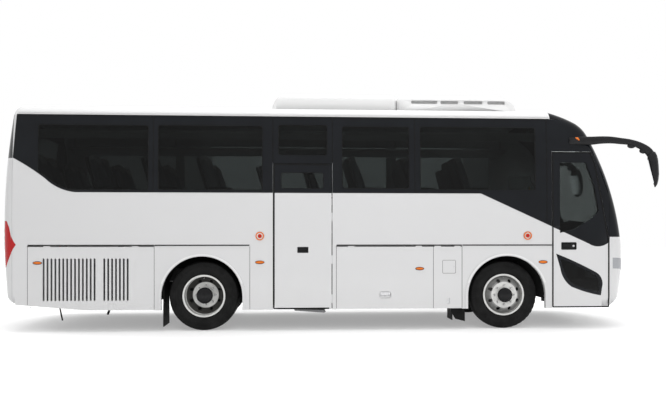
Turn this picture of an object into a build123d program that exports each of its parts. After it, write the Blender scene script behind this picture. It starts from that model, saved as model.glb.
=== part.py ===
from build123d import *
import os
from math import sqrt

# A nine-metre coach. Millimetres: X points forward, Y to the left and Z up, with the ground at zero.
os.makedirs("parts", exist_ok=True)

right = -1
left = 1

# Body form
half_width = 1240
upright_z = 1700
lean = 45
eave_z = 3130
eave_round = 170
roof_z = 3195
nose_x = 4335
nose_bow = 3500
nose_corner = 150
tail_x = -4660
tail_bow = 12000
tail_corner = 130
wall = 50
pane = 8

# Seams and clearances
seam = 3
door_gap = 6
hinge_gap = 12
hinge_round = 6.7
bead_sink = 1.7
running = 0.05
rest_gap = 0.3

# Heights and lengthwise places of the body's panels
skirt_z = 300
luggage_line_z = 1187
band_low_z = 1935
band_top_z = 3010
rear_seam_x = -4470
front_seam_x = 3930
cap_seam_x = 3066

# Wheels and axles
wheel_radius = 487
tyre_width = 230
tyre_wall = 18
rim_radius = 298.5
rim_half_width = 95
rim_wall = 12
front_axle_x = 2411
rear_axle_x = -1871
front_tyre_y = 1030
rear_tyre_y = 1035
twin_spacing = 279
stud_circle = 137.5
stud_count = 8
hand_hole_radius = 26
hand_hole_circle = 210
hub_cap_radius = 102
arch_radius = 561
arch_lip = 40
arch_proud = 10
groove_depth = 4
front_arch_x = 2425
rear_arch_x = -1886
housing_radius = 600
housing_wall = 12
housing_inner_y = 500
king_pin_y = 870
king_pin_radius = 22
spindle_radius = 30
rear_spindle_radius = 45
front_hub_out = 62
rear_hub_out = 180
hub_end = 12

# Doors and flaps, as places along the coach and heights
front_door_x = (3088, 3924)
front_door_top = 2540
middle_door_x = (-896, -72)
middle_door_top = 2347
door_low_z = 306
flap_low_z = 306
engine_flap_x = (-4258, -2545)
rear_panel_x = (-2542, -1226)
luggage_flap_x = (-8, 1365)
equipment_flap_x = (1371, 1776)
front_panel_x = (1782, 3083)
engine_lid_half_width = 850
engine_lid_z = (560, 1500)

# Floors
deck_z = 1190
deck_thick = 40
podium_z = 1370
aisle_half_width = 210
cab_floor_z = 940
bay_floor_z = 330
sheet = 20


def side_y(z):
    """The half width of the body at a height: upright below, leaning in above."""
    rise = max(z - upright_z, 0)
    lean_radius = ((band_top_z - upright_z) ** 2 + lean ** 2) / (2 * lean)
    return half_width - lean_radius + sqrt(lean_radius ** 2 - rise ** 2)


nose_axis_x = nose_x - nose_bow
tail_axis_x = tail_x + tail_bow
far = 700


def cross_section(inset):
    """The body seen from the front, drawn in by inset."""
    with BuildSketch(Plane.XY, mode=Mode.PRIVATE) as section:
        with BuildLine():
            Polyline((-half_width, upright_z), (-half_width, -far), (half_width, -far),
                     (half_width, upright_z))
            waist_z = (upright_z + eave_z) / 2
            ThreePointArc((half_width, upright_z), (side_y(waist_z), waist_z), (side_y(eave_z), eave_z))
            ThreePointArc((side_y(eave_z), eave_z), (0, roof_z), (-side_y(eave_z), eave_z))
            ThreePointArc((-side_y(eave_z), eave_z), (-side_y(waist_z), waist_z), (-half_width, upright_z))
        make_face()
        fillet([v for v in section.vertices() if abs(v.Y - eave_z) < 1], eave_round)
        if inset:
            offset(amount=-inset)
    return section.sketch_local


def nose_profile():
    """The arcs of the nose's lengthwise profile, from the chin up to the roof."""
    with BuildLine(Plane.XY, mode=Mode.PRIVATE):
        mask = ThreePointArc((4293, 496), (nose_x, 960), (4303, 1430))
        screen = TangentArc(mask @ 1, (3854, 2788), tangent=mask % 1)
        brow = TangentArc(screen @ 1, (3650, 2990), tangent=screen % 1)
        dome = TangentArc(brow @ 1, (2850, roof_z), tangent=brow % 1)
        under = TangentArc(mask @ 0, (4060, 296), tangent=-(mask % 0))
        chin = ThreePointArc(under @ 1, under @ 0.5, under @ 0)
    return chin, mask, screen, brow, dome


def tail_profile():
    """The arcs of the tail's lengthwise profile, from the roof down to the heel."""
    with BuildLine(Plane.XY, mode=Mode.PRIVATE):
        back = ThreePointArc((-4546, 3000), (tail_x, 1277), (-4626, 524))
        over = TangentArc(back @ 0, (-4400, roof_z), tangent=-(back % 0))
        crown = ThreePointArc(over @ 1, over @ 0.5, over @ 0)
        heel = TangentArc(back @ 1, (-4490, 386), tangent=back % 1)
    return crown, back, heel


def beyond(profile, end_x, axis_x, inset):
    """What lies outside a profile that is drawn in by inset; x counts from the bow's axis."""
    with BuildSketch(Plane.XY, mode=Mode.PRIVATE) as region:
        with BuildLine():
            places = []
            for curve in profile:
                points = []
                for at in (0, 0.5, 1):
                    along = curve % at
                    points.append(curve @ at + Vector(-along.Y, along.X) * inset - Vector(axis_x, 0))
                ThreePointArc(*points)
                places.append(points)
            first = places[0][0]
            last = places[-1][-1]
            first_far = roof_z + far if first.Y > last.Y else -far
            last_far = -far if first.Y > last.Y else roof_z + far
            Polyline(last, (last.X, last_far), (end_x - axis_x, last_far), (end_x - axis_x, first_far),
                     (first.X, first_far), first)
        make_face()
    return region.sketch_local


def bow_plane(axis_x, turn):
    """An upright plane through a bow's axis, turned about it from the lengthwise middle plane."""
    return Plane(origin=(axis_x, 0, 0), x_dir=(1, 0, 0), z_dir=(0, -1, 0)).rotated((0, 0, turn))


def body_form(inset):
    """The closed outer form of the body, drawn in by inset on every side."""
    nose_turn = 45
    tail_turn = 8
    with BuildPart() as form:
        with BuildSketch(Plane.YZ.offset(tail_x - wall)):
            add(cross_section(inset))
        extrude(amount=nose_x - tail_x + 2 * wall)
        with BuildSketch(bow_plane(nose_axis_x, -nose_turn)):
            add(beyond(nose_profile(), nose_x + far, nose_axis_x, inset))
        revolve(axis=Axis((nose_axis_x, 0, 0), (0, 0, 1)), revolution_arc=2 * nose_turn, mode=Mode.SUBTRACT)
        with BuildSketch(bow_plane(tail_axis_x, -tail_turn)):
            add(beyond(tail_profile(), tail_x - far, tail_axis_x, inset))
        revolve(axis=Axis((tail_axis_x, 0, 0), (0, 0, 1)), revolution_arc=2 * tail_turn, mode=Mode.SUBTRACT)
        beside = form.edges().filter_by(lambda e: abs(e.center().Y) > half_width - 150)
        nose_edges = beside.filter_by(lambda e: e.center().X > 3500 and 400 < e.center().Z < 2990)
        fillet(nose_edges, nose_corner - inset)
        beside = form.edges().filter_by(lambda e: abs(e.center().Y) > half_width - 150)
        tail_edges = beside.filter_by(lambda e: e.center().X < rear_seam_x and 430 < e.center().Z < 3000)
        fillet(tail_edges, tail_corner - inset)
    return form.part


def outline(corners, round_by=0):
    """A closed side or front view outline with straight edges and, where asked, rounded corners."""
    with BuildSketch(Plane.XY, mode=Mode.PRIVATE) as shape:
        with BuildLine():
            Polyline(*corners, close=True)
        make_face()
        if round_by:
            fillet(shape.vertices(), round_by)
    return shape.sketch_local


def rectangle(x_range, z_range, round_by=0, grow=0):
    """A rectangle between two places and two heights."""
    x_low = x_range[0] - grow
    x_high = x_range[1] + grow
    z_low = z_range[0] - grow
    z_high = z_range[1] + grow
    return outline([(x_low, z_low), (x_high, z_low), (x_high, z_high), (x_low, z_high)], round_by)


def circle(centre, radius):
    with BuildSketch(Plane.XY, mode=Mode.PRIVATE) as shape:
        with Locations(centre):
            Circle(radius)
    return shape.sketch_local


def across(shape, y_low=-half_width - wall, y_high=half_width + wall):
    """A prism of a side view outline, between two places across the coach."""
    with BuildPart(mode=Mode.PRIVATE) as prism:
        with BuildSketch(Plane.XZ.offset(-y_high)):
            add(shape)
        extrude(amount=y_high - y_low)
    return prism.part


def along(shape, x_low, x_high):
    """A prism of a front view outline, given as (y, z), between two places along the coach."""
    with BuildPart(mode=Mode.PRIVATE) as prism:
        with BuildSketch(Plane.YZ.offset(x_low)):
            add(shape)
        extrude(amount=x_high - x_low)
    return prism.part


def upright(shape, z_low, z_high):
    """A prism of a plan view outline, between two heights."""
    with BuildPart(mode=Mode.PRIVATE) as prism:
        with BuildSketch(Plane.XY.offset(z_low)):
            add(shape)
        extrude(amount=z_high - z_low)
    return prism.part


def block(x_range, y_range, z_range):
    """A plain box between its limits."""
    return across(rectangle(x_range, z_range), min(y_range), max(y_range))


def side_range(side, inner_y, outer_y):
    """The two places across the coach that a side's inner and outer distances stand for."""
    return sorted((side * inner_y, side * outer_y))


def on_side(shape, side, inner_y=1000, outer_y=half_width + wall):
    """A prism of a side view outline through one side wall only."""
    return across(shape, *side_range(side, inner_y, outer_y))


def finish(piece, name):
    """Names a finished piece and writes its file."""
    piece.label = name
    export_step(piece, f"parts/{name}.step")


# The closed forms of the outer face, the glass's inner face and the wall's inner face
outer_form = body_form(0)
pane_form = body_form(pane)
inner_form = body_form(wall)

with BuildPart() as skin:
    add(outer_form)
    add(inner_form, mode=Mode.SUBTRACT)
with BuildPart() as pane_layer:
    add(outer_form)
    add(pane_form, mode=Mode.SUBTRACT)


def layer_within(prism):
    """The glass-thick outer layer of the body, inside a prism."""
    with BuildPart(mode=Mode.PRIVATE) as layer:
        add(pane_layer)
        add(prism, mode=Mode.INTERSECT)
    return layer.part


# Outlines seen from the side, as (x, z)
skirt_line = [(-4800, 388), (-4360, 380), (-3400, skirt_z), (5000, skirt_z)]
front_door_line = [
    (front_door_x[0], door_low_z), (front_door_x[0], front_door_top), (3652, front_door_top),
    (3720, 2362), (front_door_x[1], 1260), (front_door_x[1], door_low_z),
]
front_door_hole_line = [
    (front_door_x[0] - door_gap, 0), (front_door_x[0] - door_gap, front_door_top + door_gap),
    (3656, front_door_top + door_gap), (3726, 2364), (front_door_x[1] + door_gap, 1260),
    (front_door_x[1] + door_gap, 0),
]
middle_door_z = (door_low_z, middle_door_top)


def front_zone(gap):
    """The side view of all that lies in front of the screen pillar's seam, less a gap."""
    with BuildSketch(Plane.XY, mode=Mode.PRIVATE) as zone:
        with BuildLine():
            Polyline((cap_seam_x + gap, band_top_z), (cap_seam_x + gap, 4000), (6000, 4000), (6000, -200),
                     (front_seam_x + gap, -200), (front_seam_x + gap, 1900))
            foot = ThreePointArc((front_seam_x + gap, 1900), (3840 + gap, 2150), (3684 + gap, 2593))
            shoulder = ThreePointArc(foot @ 1, (3530 + gap, 2850), (3263, band_top_z))
            Line(shoulder @ 1, (cap_seam_x + gap, band_top_z))
        make_face()
    return zone.sketch_local


def glass_band(shrink):
    """The side view of the dark band that the side glass covers, drawn in by shrink."""
    low = band_low_z + shrink
    high = band_top_z - shrink
    with BuildSketch(Plane.XY, mode=Mode.PRIVATE) as band:
        with BuildLine():
            Polyline((4000, high), (-4425 + shrink, high), (rear_seam_x + 6 + shrink, 2409))
            crest = ThreePointArc((rear_seam_x + 6 + shrink, 2409), (-4226, 2266 + shrink),
                                  (-4024, 2123 + shrink))
            hollow = ThreePointArc(crest @ 1, (-3830, 1990 + shrink), (-3620, low))
            Polyline(hollow @ 1, (2052, low), (3631, 1218 + shrink))
            cup = ThreePointArc((3631, 1218 + shrink), (3760, 1182 + shrink), (3935, 1260 + shrink))
            Polyline(cup @ 1, (4000, 1300 + shrink), (4000, high))
        make_face()
    return band.sketch_local


skirt_prism = across(outline([(-4800, 4000)] + skirt_line + [(5000, 4000)]))
front_prism = across(front_zone(0))
front_prism_gap = across(front_zone(-seam))
rear_seam_prism = across(rectangle((-6000, rear_seam_x), (-200, 4000)))
middle_body_prism = across(rectangle((rear_seam_x + seam, 4600), (-200, band_top_z)))

# See-through panes on each side: first and last place along the coach, low and high, side
side_panes = [
    (-4125, -2627, 1970, 2870, 0),
    (-2490, -1048, 1975, 2876, 0),
    (-823, -143, 2471, 2894, right),
    (-896, -72, 1975, 2880, left),
    (73, 1022, 2006, 2878, 0),
    (1182, 2843, 1990, 2883, 0),
]
pane_joints = [-2558, -902, -66, 1105, 3010]
pane_corner = 30
front_pane_line = [(3200, 1375), (3200, 2389), (3584, 2389), (3700, 2080), (3768, 1700), (3690, 1600),
                   (3420, 1430)]
middle_pane = ((-788, -192), (2000, 2222))
window_border = 40

band_border = 30


def pane_opening(x_range, z_range):
    """The side view of a window's opening, kept inside the glass band."""
    with BuildSketch(Plane.XY, mode=Mode.PRIVATE) as opening:
        add(rectangle(x_range, z_range, pane_corner))
        add(glass_band(band_border), mode=Mode.INTERSECT)
    return opening.sketch_local


# Flaps below the luggage line: name, range along the coach, side
flap_table = [
    ("luggage_flap_right", luggage_flap_x, right),
    ("equipment_flap_right", equipment_flap_x, right),
    ("engine_flap_right", engine_flap_x, right),
    ("luggage_flap_left", luggage_flap_x, left),
    ("rear_luggage_flap_left", (-1220, -14), left),
    ("equipment_flap_left", equipment_flap_x, left),
    ("engine_flap_left", engine_flap_x, left),
]
flap_top_z = luggage_line_z - door_gap
body_low_z = luggage_line_z + door_gap
hinge_inset = 6
louvre_groups = [(-4044, 14), (-3223, 7)]
louvre_pitch = 53
louvre_width = 26
louvre_z = (435, 1022)
groove_width = 4
fuel_flap = ((1500, 1687), (803, 988))
equipment_lock = ((1559, 1606), (369, 456))
flap_handle = (682, 500)
flap_handle_size = (170, 104)
handle_depth = 22


def lower_window(shrink):
    """The side view of the drop-shaped window low in the front door, drawn in by shrink."""
    with BuildSketch(Plane.XY, mode=Mode.PRIVATE) as window:
        with BuildLine():
            top = ThreePointArc((3143, 1080), (3473, 940), (3735, 808))
            front = ThreePointArc(top @ 1, (3803, 735), (3825, 640))
            Line(front @ 1, (3800, 478))
            low = ThreePointArc((3800, 478), (3575, 530), (3365, 606))
            rear = ThreePointArc(low @ 1, (3262, 715), (3205, 867))
            Line(rear @ 1, (3143, 1080))
        make_face()
        if shrink:
            offset(amount=-shrink)
    return window.sketch_local


def groove(x_range, z_range, width):
    """The side view of a thin groove round a rectangle."""
    with BuildSketch(Plane.XY, mode=Mode.PRIVATE) as line:
        add(rectangle(x_range, z_range, grow=width / 2))
        add(rectangle(x_range, z_range, grow=-width / 2), mode=Mode.SUBTRACT)
    return line.sketch_local


# Wheel arches: centre, and the range of the removable panel round it
arches = [(front_arch_x, front_panel_x), (rear_arch_x, rear_panel_x)]


def arch_opening(centre_x, low_z, grow=0):
    """The side view of a wheel's opening: round above the wheel's centre, upright below."""
    radius = arch_radius + grow
    with BuildSketch(Plane.XY, mode=Mode.PRIVATE) as opening:
        with Locations((centre_x, wheel_radius)):
            Circle(radius)
        with Locations((centre_x, low_z)):
            Rectangle(2 * radius, wheel_radius - low_z, align=(Align.CENTER, Align.MIN))
        with Locations((centre_x, low_z)):
            Rectangle(3 * radius, radius, align=(Align.CENTER, Align.MAX), mode=Mode.SUBTRACT)
    return opening.sketch_local


for side, side_name in ((right, "right"), (left, "left")):
    with BuildPart() as side_wall:
        add(skin)
        add(on_side(outline([(-4800, 4000)] + skirt_line + [(5000, 4000)]), side), mode=Mode.INTERSECT)
        add(middle_body_prism, mode=Mode.INTERSECT)
        add(front_prism_gap, mode=Mode.SUBTRACT)
        for name, x_range, flap_side in flap_table:
            if flap_side == side:
                add(on_side(rectangle((x_range[0] - door_gap, x_range[1] + door_gap), (0, body_low_z)),
                            side),
                    mode=Mode.SUBTRACT)
        for centre_x, panel_x in arches:
            add(on_side(groove(panel_x, (-wall, luggage_line_z), seam), side, half_width - groove_depth),
                mode=Mode.SUBTRACT)
            add(on_side(arch_opening(centre_x, skirt_z, arch_lip), side, half_width - wall / 2,
                        half_width + arch_proud))
            add(on_side(arch_opening(centre_x, 0), side), mode=Mode.SUBTRACT)
        if side == right:
            add(on_side(outline(front_door_hole_line), side), mode=Mode.SUBTRACT)
            hole_x = (middle_door_x[0] - door_gap, middle_door_x[1] + door_gap)
            add(on_side(rectangle(hole_x, (0, middle_door_top + door_gap)), side), mode=Mode.SUBTRACT)
        for x_low, x_high, z_low, z_high, only in side_panes:
            if only in (0, side):
                add(on_side(pane_opening((x_low, x_high), (z_low, z_high)), side), mode=Mode.SUBTRACT)
        if side == left:
            add(on_side(outline(front_pane_line), side), mode=Mode.SUBTRACT)
        add(layer_within(on_side(glass_band(0), side)), mode=Mode.SUBTRACT)
    finish(side_wall.part, f"side_wall_{side_name}")

    with BuildPart() as side_glass:
        add(pane_layer)
        add(on_side(glass_band(seam), side), mode=Mode.INTERSECT)
        add(front_prism_gap, mode=Mode.SUBTRACT)
        for joint_x in pane_joints:
            add(on_side(rectangle((joint_x - seam / 2, joint_x + seam / 2), (0, 4000)), side),
                mode=Mode.SUBTRACT)
        if side == right:
            add(on_side(outline(front_door_hole_line), side), mode=Mode.SUBTRACT)
            add(on_side(rectangle(hole_x, (0, middle_door_top + door_gap)), side), mode=Mode.SUBTRACT)
    finish(side_glass.part, f"side_glass_{side_name}")


def hinge_knuckle(at, axis_dir, length):
    """A hinge's round bead, to be joined to the leaf that it carries."""
    turn = {"x": Plane.YZ, "y": Plane.XZ, "z": Plane.XY}[axis_dir]
    with BuildPart(mode=Mode.PRIVATE) as bead:
        with BuildSketch(Plane(origin=at, x_dir=turn.x_dir, z_dir=turn.z_dir)):
            Circle(hinge_round)
        extrude(amount=length / 2, both=True)
    return bead.part


# Middle door, hung on the hinge at its front edge
middle_leaf_x = (middle_door_x[0], middle_door_x[1] - hinge_gap + door_gap)
middle_hinge = (middle_leaf_x[1] + hinge_round - bead_sink, -half_width + hinge_inset)
middle_band = across(glass_band(0), -half_width - wall, -1000)
middle_handle = ((-560, -404), (1095, 1179))
front_handle = ((3218, 3443), (1135, 1243))
recess_y = half_width - handle_depth

with BuildPart() as middle_door:
    add(skin)
    add(on_side(rectangle(middle_leaf_x, middle_door_z), right), mode=Mode.INTERSECT)
    add(on_side(rectangle(*middle_pane, pane_corner), right), mode=Mode.SUBTRACT)
    add(layer_within(middle_band), mode=Mode.SUBTRACT)
    add(on_side(rectangle(*middle_handle, 8), right, recess_y), mode=Mode.SUBTRACT)
    for knuckle_z in (450, 1000, 1600):
        add(hinge_knuckle((*middle_hinge, knuckle_z), "z", 120))
finish(middle_door.part, "middle_door")

with BuildPart() as middle_door_glass:
    add(pane_layer)
    add(on_side(rectangle(middle_leaf_x, (0, middle_door_top)), right), mode=Mode.INTERSECT)
    add(middle_band, mode=Mode.INTERSECT)
finish(middle_door_glass.part, "middle_door_glass")

# Front door leaf, carried by two swinging arms on a post behind its front edge
post_x = 3866
post_y = -1100
arm_reach = 520
arm_z = (470, 1220)
arm_height = 28
arm_width = 36
post_radius = 20
pin_radius = 12
leaf_plate = 12
plate_lift = 2
post_z = (386, 1290)

with BuildPart() as front_door:
    add(skin)
    add(on_side(outline(front_door_line), right), mode=Mode.INTERSECT)
    add(on_side(outline(front_pane_line), right), mode=Mode.SUBTRACT)
    add(layer_within(middle_band), mode=Mode.SUBTRACT)
    add(layer_within(on_side(lower_window(0), right)), mode=Mode.SUBTRACT)
    add(on_side(lower_window(window_border), right), mode=Mode.SUBTRACT)
    add(on_side(rectangle(*front_handle, 14), right, recess_y), mode=Mode.SUBTRACT)
    for low_z in arm_z:
        plate_z = low_z + arm_height + plate_lift
        eye_x = post_x - arm_reach
        add(block((eye_x - arm_width / 2, eye_x + arm_width / 2), (-half_width + wall / 2, post_y + 20),
                  (plate_z, plate_z + leaf_plate)))
        with Locations(Plane.XY.offset(plate_z)):
            with Locations((eye_x, post_y)):
                Hole(pin_radius + running, depth=4 * leaf_plate)
finish(front_door.part, "front_door")

with BuildPart() as front_door_glass:
    add(pane_layer)
    add(on_side(outline(front_door_line), right), mode=Mode.INTERSECT)
    add(middle_band, mode=Mode.INTERSECT)
    add(layer_within(on_side(lower_window(0), right)))
finish(front_door_glass.part, "front_door_glass")

with BuildPart() as front_door_arms:
    with BuildSketch(Plane.XY.offset(post_z[0])):
        with Locations((post_x, post_y)):
            Circle(post_radius)
    extrude(amount=post_z[1] - post_z[0])
    with BuildSketch(Plane.XY.offset(post_z[0] - leaf_plate)):
        with Locations((post_x, post_y)):
            Circle(pin_radius)
    extrude(amount=post_z[1] - post_z[0] + 2 * leaf_plate)
    for low_z in arm_z:
        with BuildSketch(Plane.XY.offset(low_z)):
            with Locations((post_x - arm_reach / 2, post_y)):
                SlotCenterToCenter(arm_reach, arm_width)
        extrude(amount=arm_height)
        with BuildSketch(Plane.XY.offset(low_z + arm_height)):
            with Locations((post_x - arm_reach, post_y)):
                Circle(pin_radius)
        extrude(amount=plate_lift + leaf_plate)
finish(front_door_arms.part, "front_door_arms")

# Flaps, each hung on the hinge along its top edge
for name, x_range, side in flap_table:
    with BuildPart() as flap:
        add(skin)
        add(on_side(outline([(-4800, 4000)] + skirt_line + [(5000, 4000)]), side), mode=Mode.INTERSECT)
        add(on_side(rectangle(x_range, (flap_low_z, flap_top_z)), side), mode=Mode.INTERSECT)
        if "engine" in name:
            for first_x, count in louvre_groups:
                last_x = first_x + (count - 1) * louvre_pitch
                with BuildSketch(Plane.XZ.offset(-side * half_width)):
                    with Locations(((first_x + last_x) / 2, sum(louvre_z) / 2)):
                        with GridLocations(louvre_pitch, 1, count, 1):
                            SlotOverall(louvre_z[1] - louvre_z[0], louvre_width, rotation=90)
                extrude(amount=2 * wall, both=True, mode=Mode.SUBTRACT)
        if name == "luggage_flap_right":
            with BuildSketch(Plane.XZ.offset(half_width)):
                with Locations(flap_handle):
                    RectangleRounded(*flap_handle_size, 40)
            extrude(amount=-handle_depth, mode=Mode.SUBTRACT)
        if name == "equipment_flap_right":
            add(on_side(groove(*fuel_flap, groove_width), side, half_width - groove_depth),
                mode=Mode.SUBTRACT)
            add(on_side(rectangle(*equipment_lock, 12), side, half_width - handle_depth),
                mode=Mode.SUBTRACT)
        length = x_range[1] - x_range[0]
        for share in (0.15, 0.85):
            bead_x = x_range[0] + share * length
            add(hinge_knuckle((bead_x, side * (half_width - hinge_inset),
                               flap_top_z + hinge_round - bead_sink), "x", 90))
    finish(flap.part, name)

# Lamps set into the corners: the tail lamps' side view and the headlamps' front view
lamp_gap = 1
tail_lamp_side = [(-4560, 901), (-4478, 1101), (rear_seam_x - 8, 1212), (-4483, 1324), (-4505, 1443),
                  (-4547, 1539),
                  (-4800, 1539), (-4800, 901)]
tail_lamp_inner_y = 1040
headlamp_rear_x = 3975
headlamp_front = [(700, 780), (1000, 800), (1290, 880), (1290, 1030), (1080, 985), (760, 900)]


def grown(shape, amount):
    """An outline grown on every side."""
    with BuildSketch(Plane.XY, mode=Mode.PRIVATE) as larger:
        add(shape)
        offset(amount=amount, kind=Kind.INTERSECTION)
    return larger.sketch_local


# Front: the mask, the screen and the cap with its pillars
screen_low_line = [(-1300, 1318), (-1150, 1320), (-900, 1385), (-500, 1412), (0, 1421), (500, 1412),
                   (900, 1385),
                   (1150, 1320), (1300, 1318)]
screen_top_z = 2790
screen_zone = along(outline(screen_low_line + [(1300, 2720), (0, screen_top_z), (-1300, 2720)]), 2500, 5000)
screen_zone_low = along(outline(screen_low_line + [(1300, -200), (-1300, -200)]), 2500, 5000)
screen_view = along(outline([(-1090, 1440), (0, 1500), (1090, 1440), (1040, 2640), (0, 2710),
                             (-1040, 2640)], 60),
                    3000, 5000)
bracket_plate = leaf_plate
bracket_y = post_y - 35
intake_z = 560
intake_pitch = 46
intake_slots = 4
intake_size = (1040, 24)
bumper_line_z = 720
fog_lamp_place = (860, 500)
fog_lamp_radius = 55
bumper_groove = along(rectangle((-1050, 1050), (bumper_line_z, bumper_line_z + groove_width)), 4000, 5000)

with BuildPart() as front_panel:
    add(skin)
    add(front_prism, mode=Mode.INTERSECT)
    add(skirt_prism, mode=Mode.INTERSECT)
    add(screen_zone_low, mode=Mode.INTERSECT)
    for side in (right, left):
        lamp_view = outline([(side * y, z) for y, z in headlamp_front])
        add(along(grown(lamp_view, lamp_gap), headlamp_rear_x - lamp_gap, 5000), mode=Mode.SUBTRACT)
    with BuildSketch(Plane.YZ.offset(nose_x + wall)):
        with Locations((0, intake_z)):
            with GridLocations(1, intake_pitch, 1, intake_slots):
                SlotOverall(*intake_size)
    extrude(amount=-6 * wall, mode=Mode.SUBTRACT)
    add(layer_within(bumper_groove), mode=Mode.SUBTRACT)
    for side in (right, left):
        add(layer_within(along(circle((side * fog_lamp_place[0], fog_lamp_place[1]), fog_lamp_radius),
                               4000, 5000)),
            mode=Mode.SUBTRACT)
    for low_z in (post_z[0] - bracket_plate - 1, post_z[1] + 1):
        add(block((post_x - 30, 3990), (bracket_y, post_y + 30), (low_z, low_z + bracket_plate)))
        add(block((front_seam_x + 10, 3990), (-half_width + 20, post_y + 30),
                  (low_z, low_z + bracket_plate)))
        with Locations(Plane.XY.offset(low_z)):
            with Locations((post_x, post_y)):
                Hole(pin_radius + running, depth=3 * bracket_plate)
finish(front_panel.part, "front_panel")

with BuildPart() as windscreen:
    add(pane_layer)
    add(front_prism, mode=Mode.INTERSECT)
    add(screen_zone, mode=Mode.INTERSECT)
finish(windscreen.part, "windscreen")

with BuildPart() as front_cap:
    add(skin)
    add(front_prism, mode=Mode.INTERSECT)
    add(screen_zone_low, mode=Mode.SUBTRACT)
    add(windscreen, mode=Mode.SUBTRACT)
    add(screen_view, mode=Mode.SUBTRACT)
finish(front_cap.part, "front_cap")

# Roof
with BuildPart() as roof:
    add(skin)
    add(across(rectangle((rear_seam_x + rest_gap, cap_seam_x - seam), (band_top_z, 4000))),
        mode=Mode.INTERSECT)
    add(layer_within(across(rectangle((rear_seam_x - wall, rear_seam_x + seam), (band_top_z, 4000)))),
        mode=Mode.SUBTRACT)
finish(roof.part, "roof")

# Tail: the panel, its window and the engine lid
rear_window = ((-900, 900), (2010, 2880))
lid_hinge_x = tail_x + hinge_inset
lid_slot = (540, 20)
lid_slot_pitch = (640, 48)
lid_slot_counts = (2, 6)
lid_slot_z = 820
with BuildPart() as rear_panel:
    add(skin)
    add(rear_seam_prism, mode=Mode.INTERSECT)
    add(skirt_prism, mode=Mode.INTERSECT)
    add(along(rectangle((-engine_lid_half_width - door_gap, engine_lid_half_width + door_gap),
                        (engine_lid_z[0] - door_gap, engine_lid_z[1] + hinge_gap), 40), -5000, -4400),
        mode=Mode.SUBTRACT)
    add(along(rectangle(*rear_window, 60), -5000, -4200), mode=Mode.SUBTRACT)
    add(layer_within(along(rectangle(*rear_window, 60, grow=70), -5000, -4450)), mode=Mode.SUBTRACT)
    for side in (right, left):
        add(on_side(grown(outline(tail_lamp_side), lamp_gap), side, tail_lamp_inner_y - lamp_gap),
            mode=Mode.SUBTRACT)
finish(rear_panel.part, "rear_panel")

with BuildPart() as rear_glass:
    add(pane_layer)
    add(along(rectangle(*rear_window, 60, grow=70 - seam), -5000, -4450), mode=Mode.INTERSECT)
finish(rear_glass.part, "rear_glass")

with BuildPart() as engine_lid:
    add(skin)
    add(along(rectangle((-engine_lid_half_width, engine_lid_half_width), engine_lid_z, 36), -5000, -4400),
        mode=Mode.INTERSECT)
    with BuildSketch(Plane.YZ.offset(tail_x - wall)):
        with Locations((0, lid_slot_z)):
            with GridLocations(*lid_slot_pitch, *lid_slot_counts):
                SlotOverall(*lid_slot)
    extrude(amount=6 * wall, mode=Mode.SUBTRACT)
    for bead_y in (-300, 300):
        add(hinge_knuckle((lid_hinge_x, bead_y, engine_lid_z[1] + hinge_round - bead_sink), "y", 90))
finish(engine_lid.part, "engine_lid")

# Wheels: name, axle's place, side, tyre centres across,
# how far out of the outer tyre's centre the disc lies
disc_wall = 12
front_disc_out = 128
wheel_table = [
    ("front_right", front_axle_x, right, [front_tyre_y]),
    ("front_left", front_axle_x, left, [front_tyre_y]),
    ("rear_right", rear_axle_x, right, [rear_tyre_y, rear_tyre_y - twin_spacing]),
    ("rear_left", rear_axle_x, left, [rear_tyre_y, rear_tyre_y - twin_spacing]),
]
tyre_half = tyre_width / 2
rim_seat = rim_radius - 12
drum_radius = 205


def across_plane(x):
    """The upright plane through a wheel's axis, where x runs outwards and y runs up from the axis."""
    return Plane(origin=(x, 0, wheel_radius), x_dir=(0, 1, 0), z_dir=(1, 0, 0))


def ring(side, u_low, u_high, r_low, r_high):
    """A ring's section between two distances out from the middle of the coach."""
    return outline([(side * u_low, r_low), (side * u_high, r_low), (side * u_high, r_high),
                    (side * u_low, r_high)])


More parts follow.
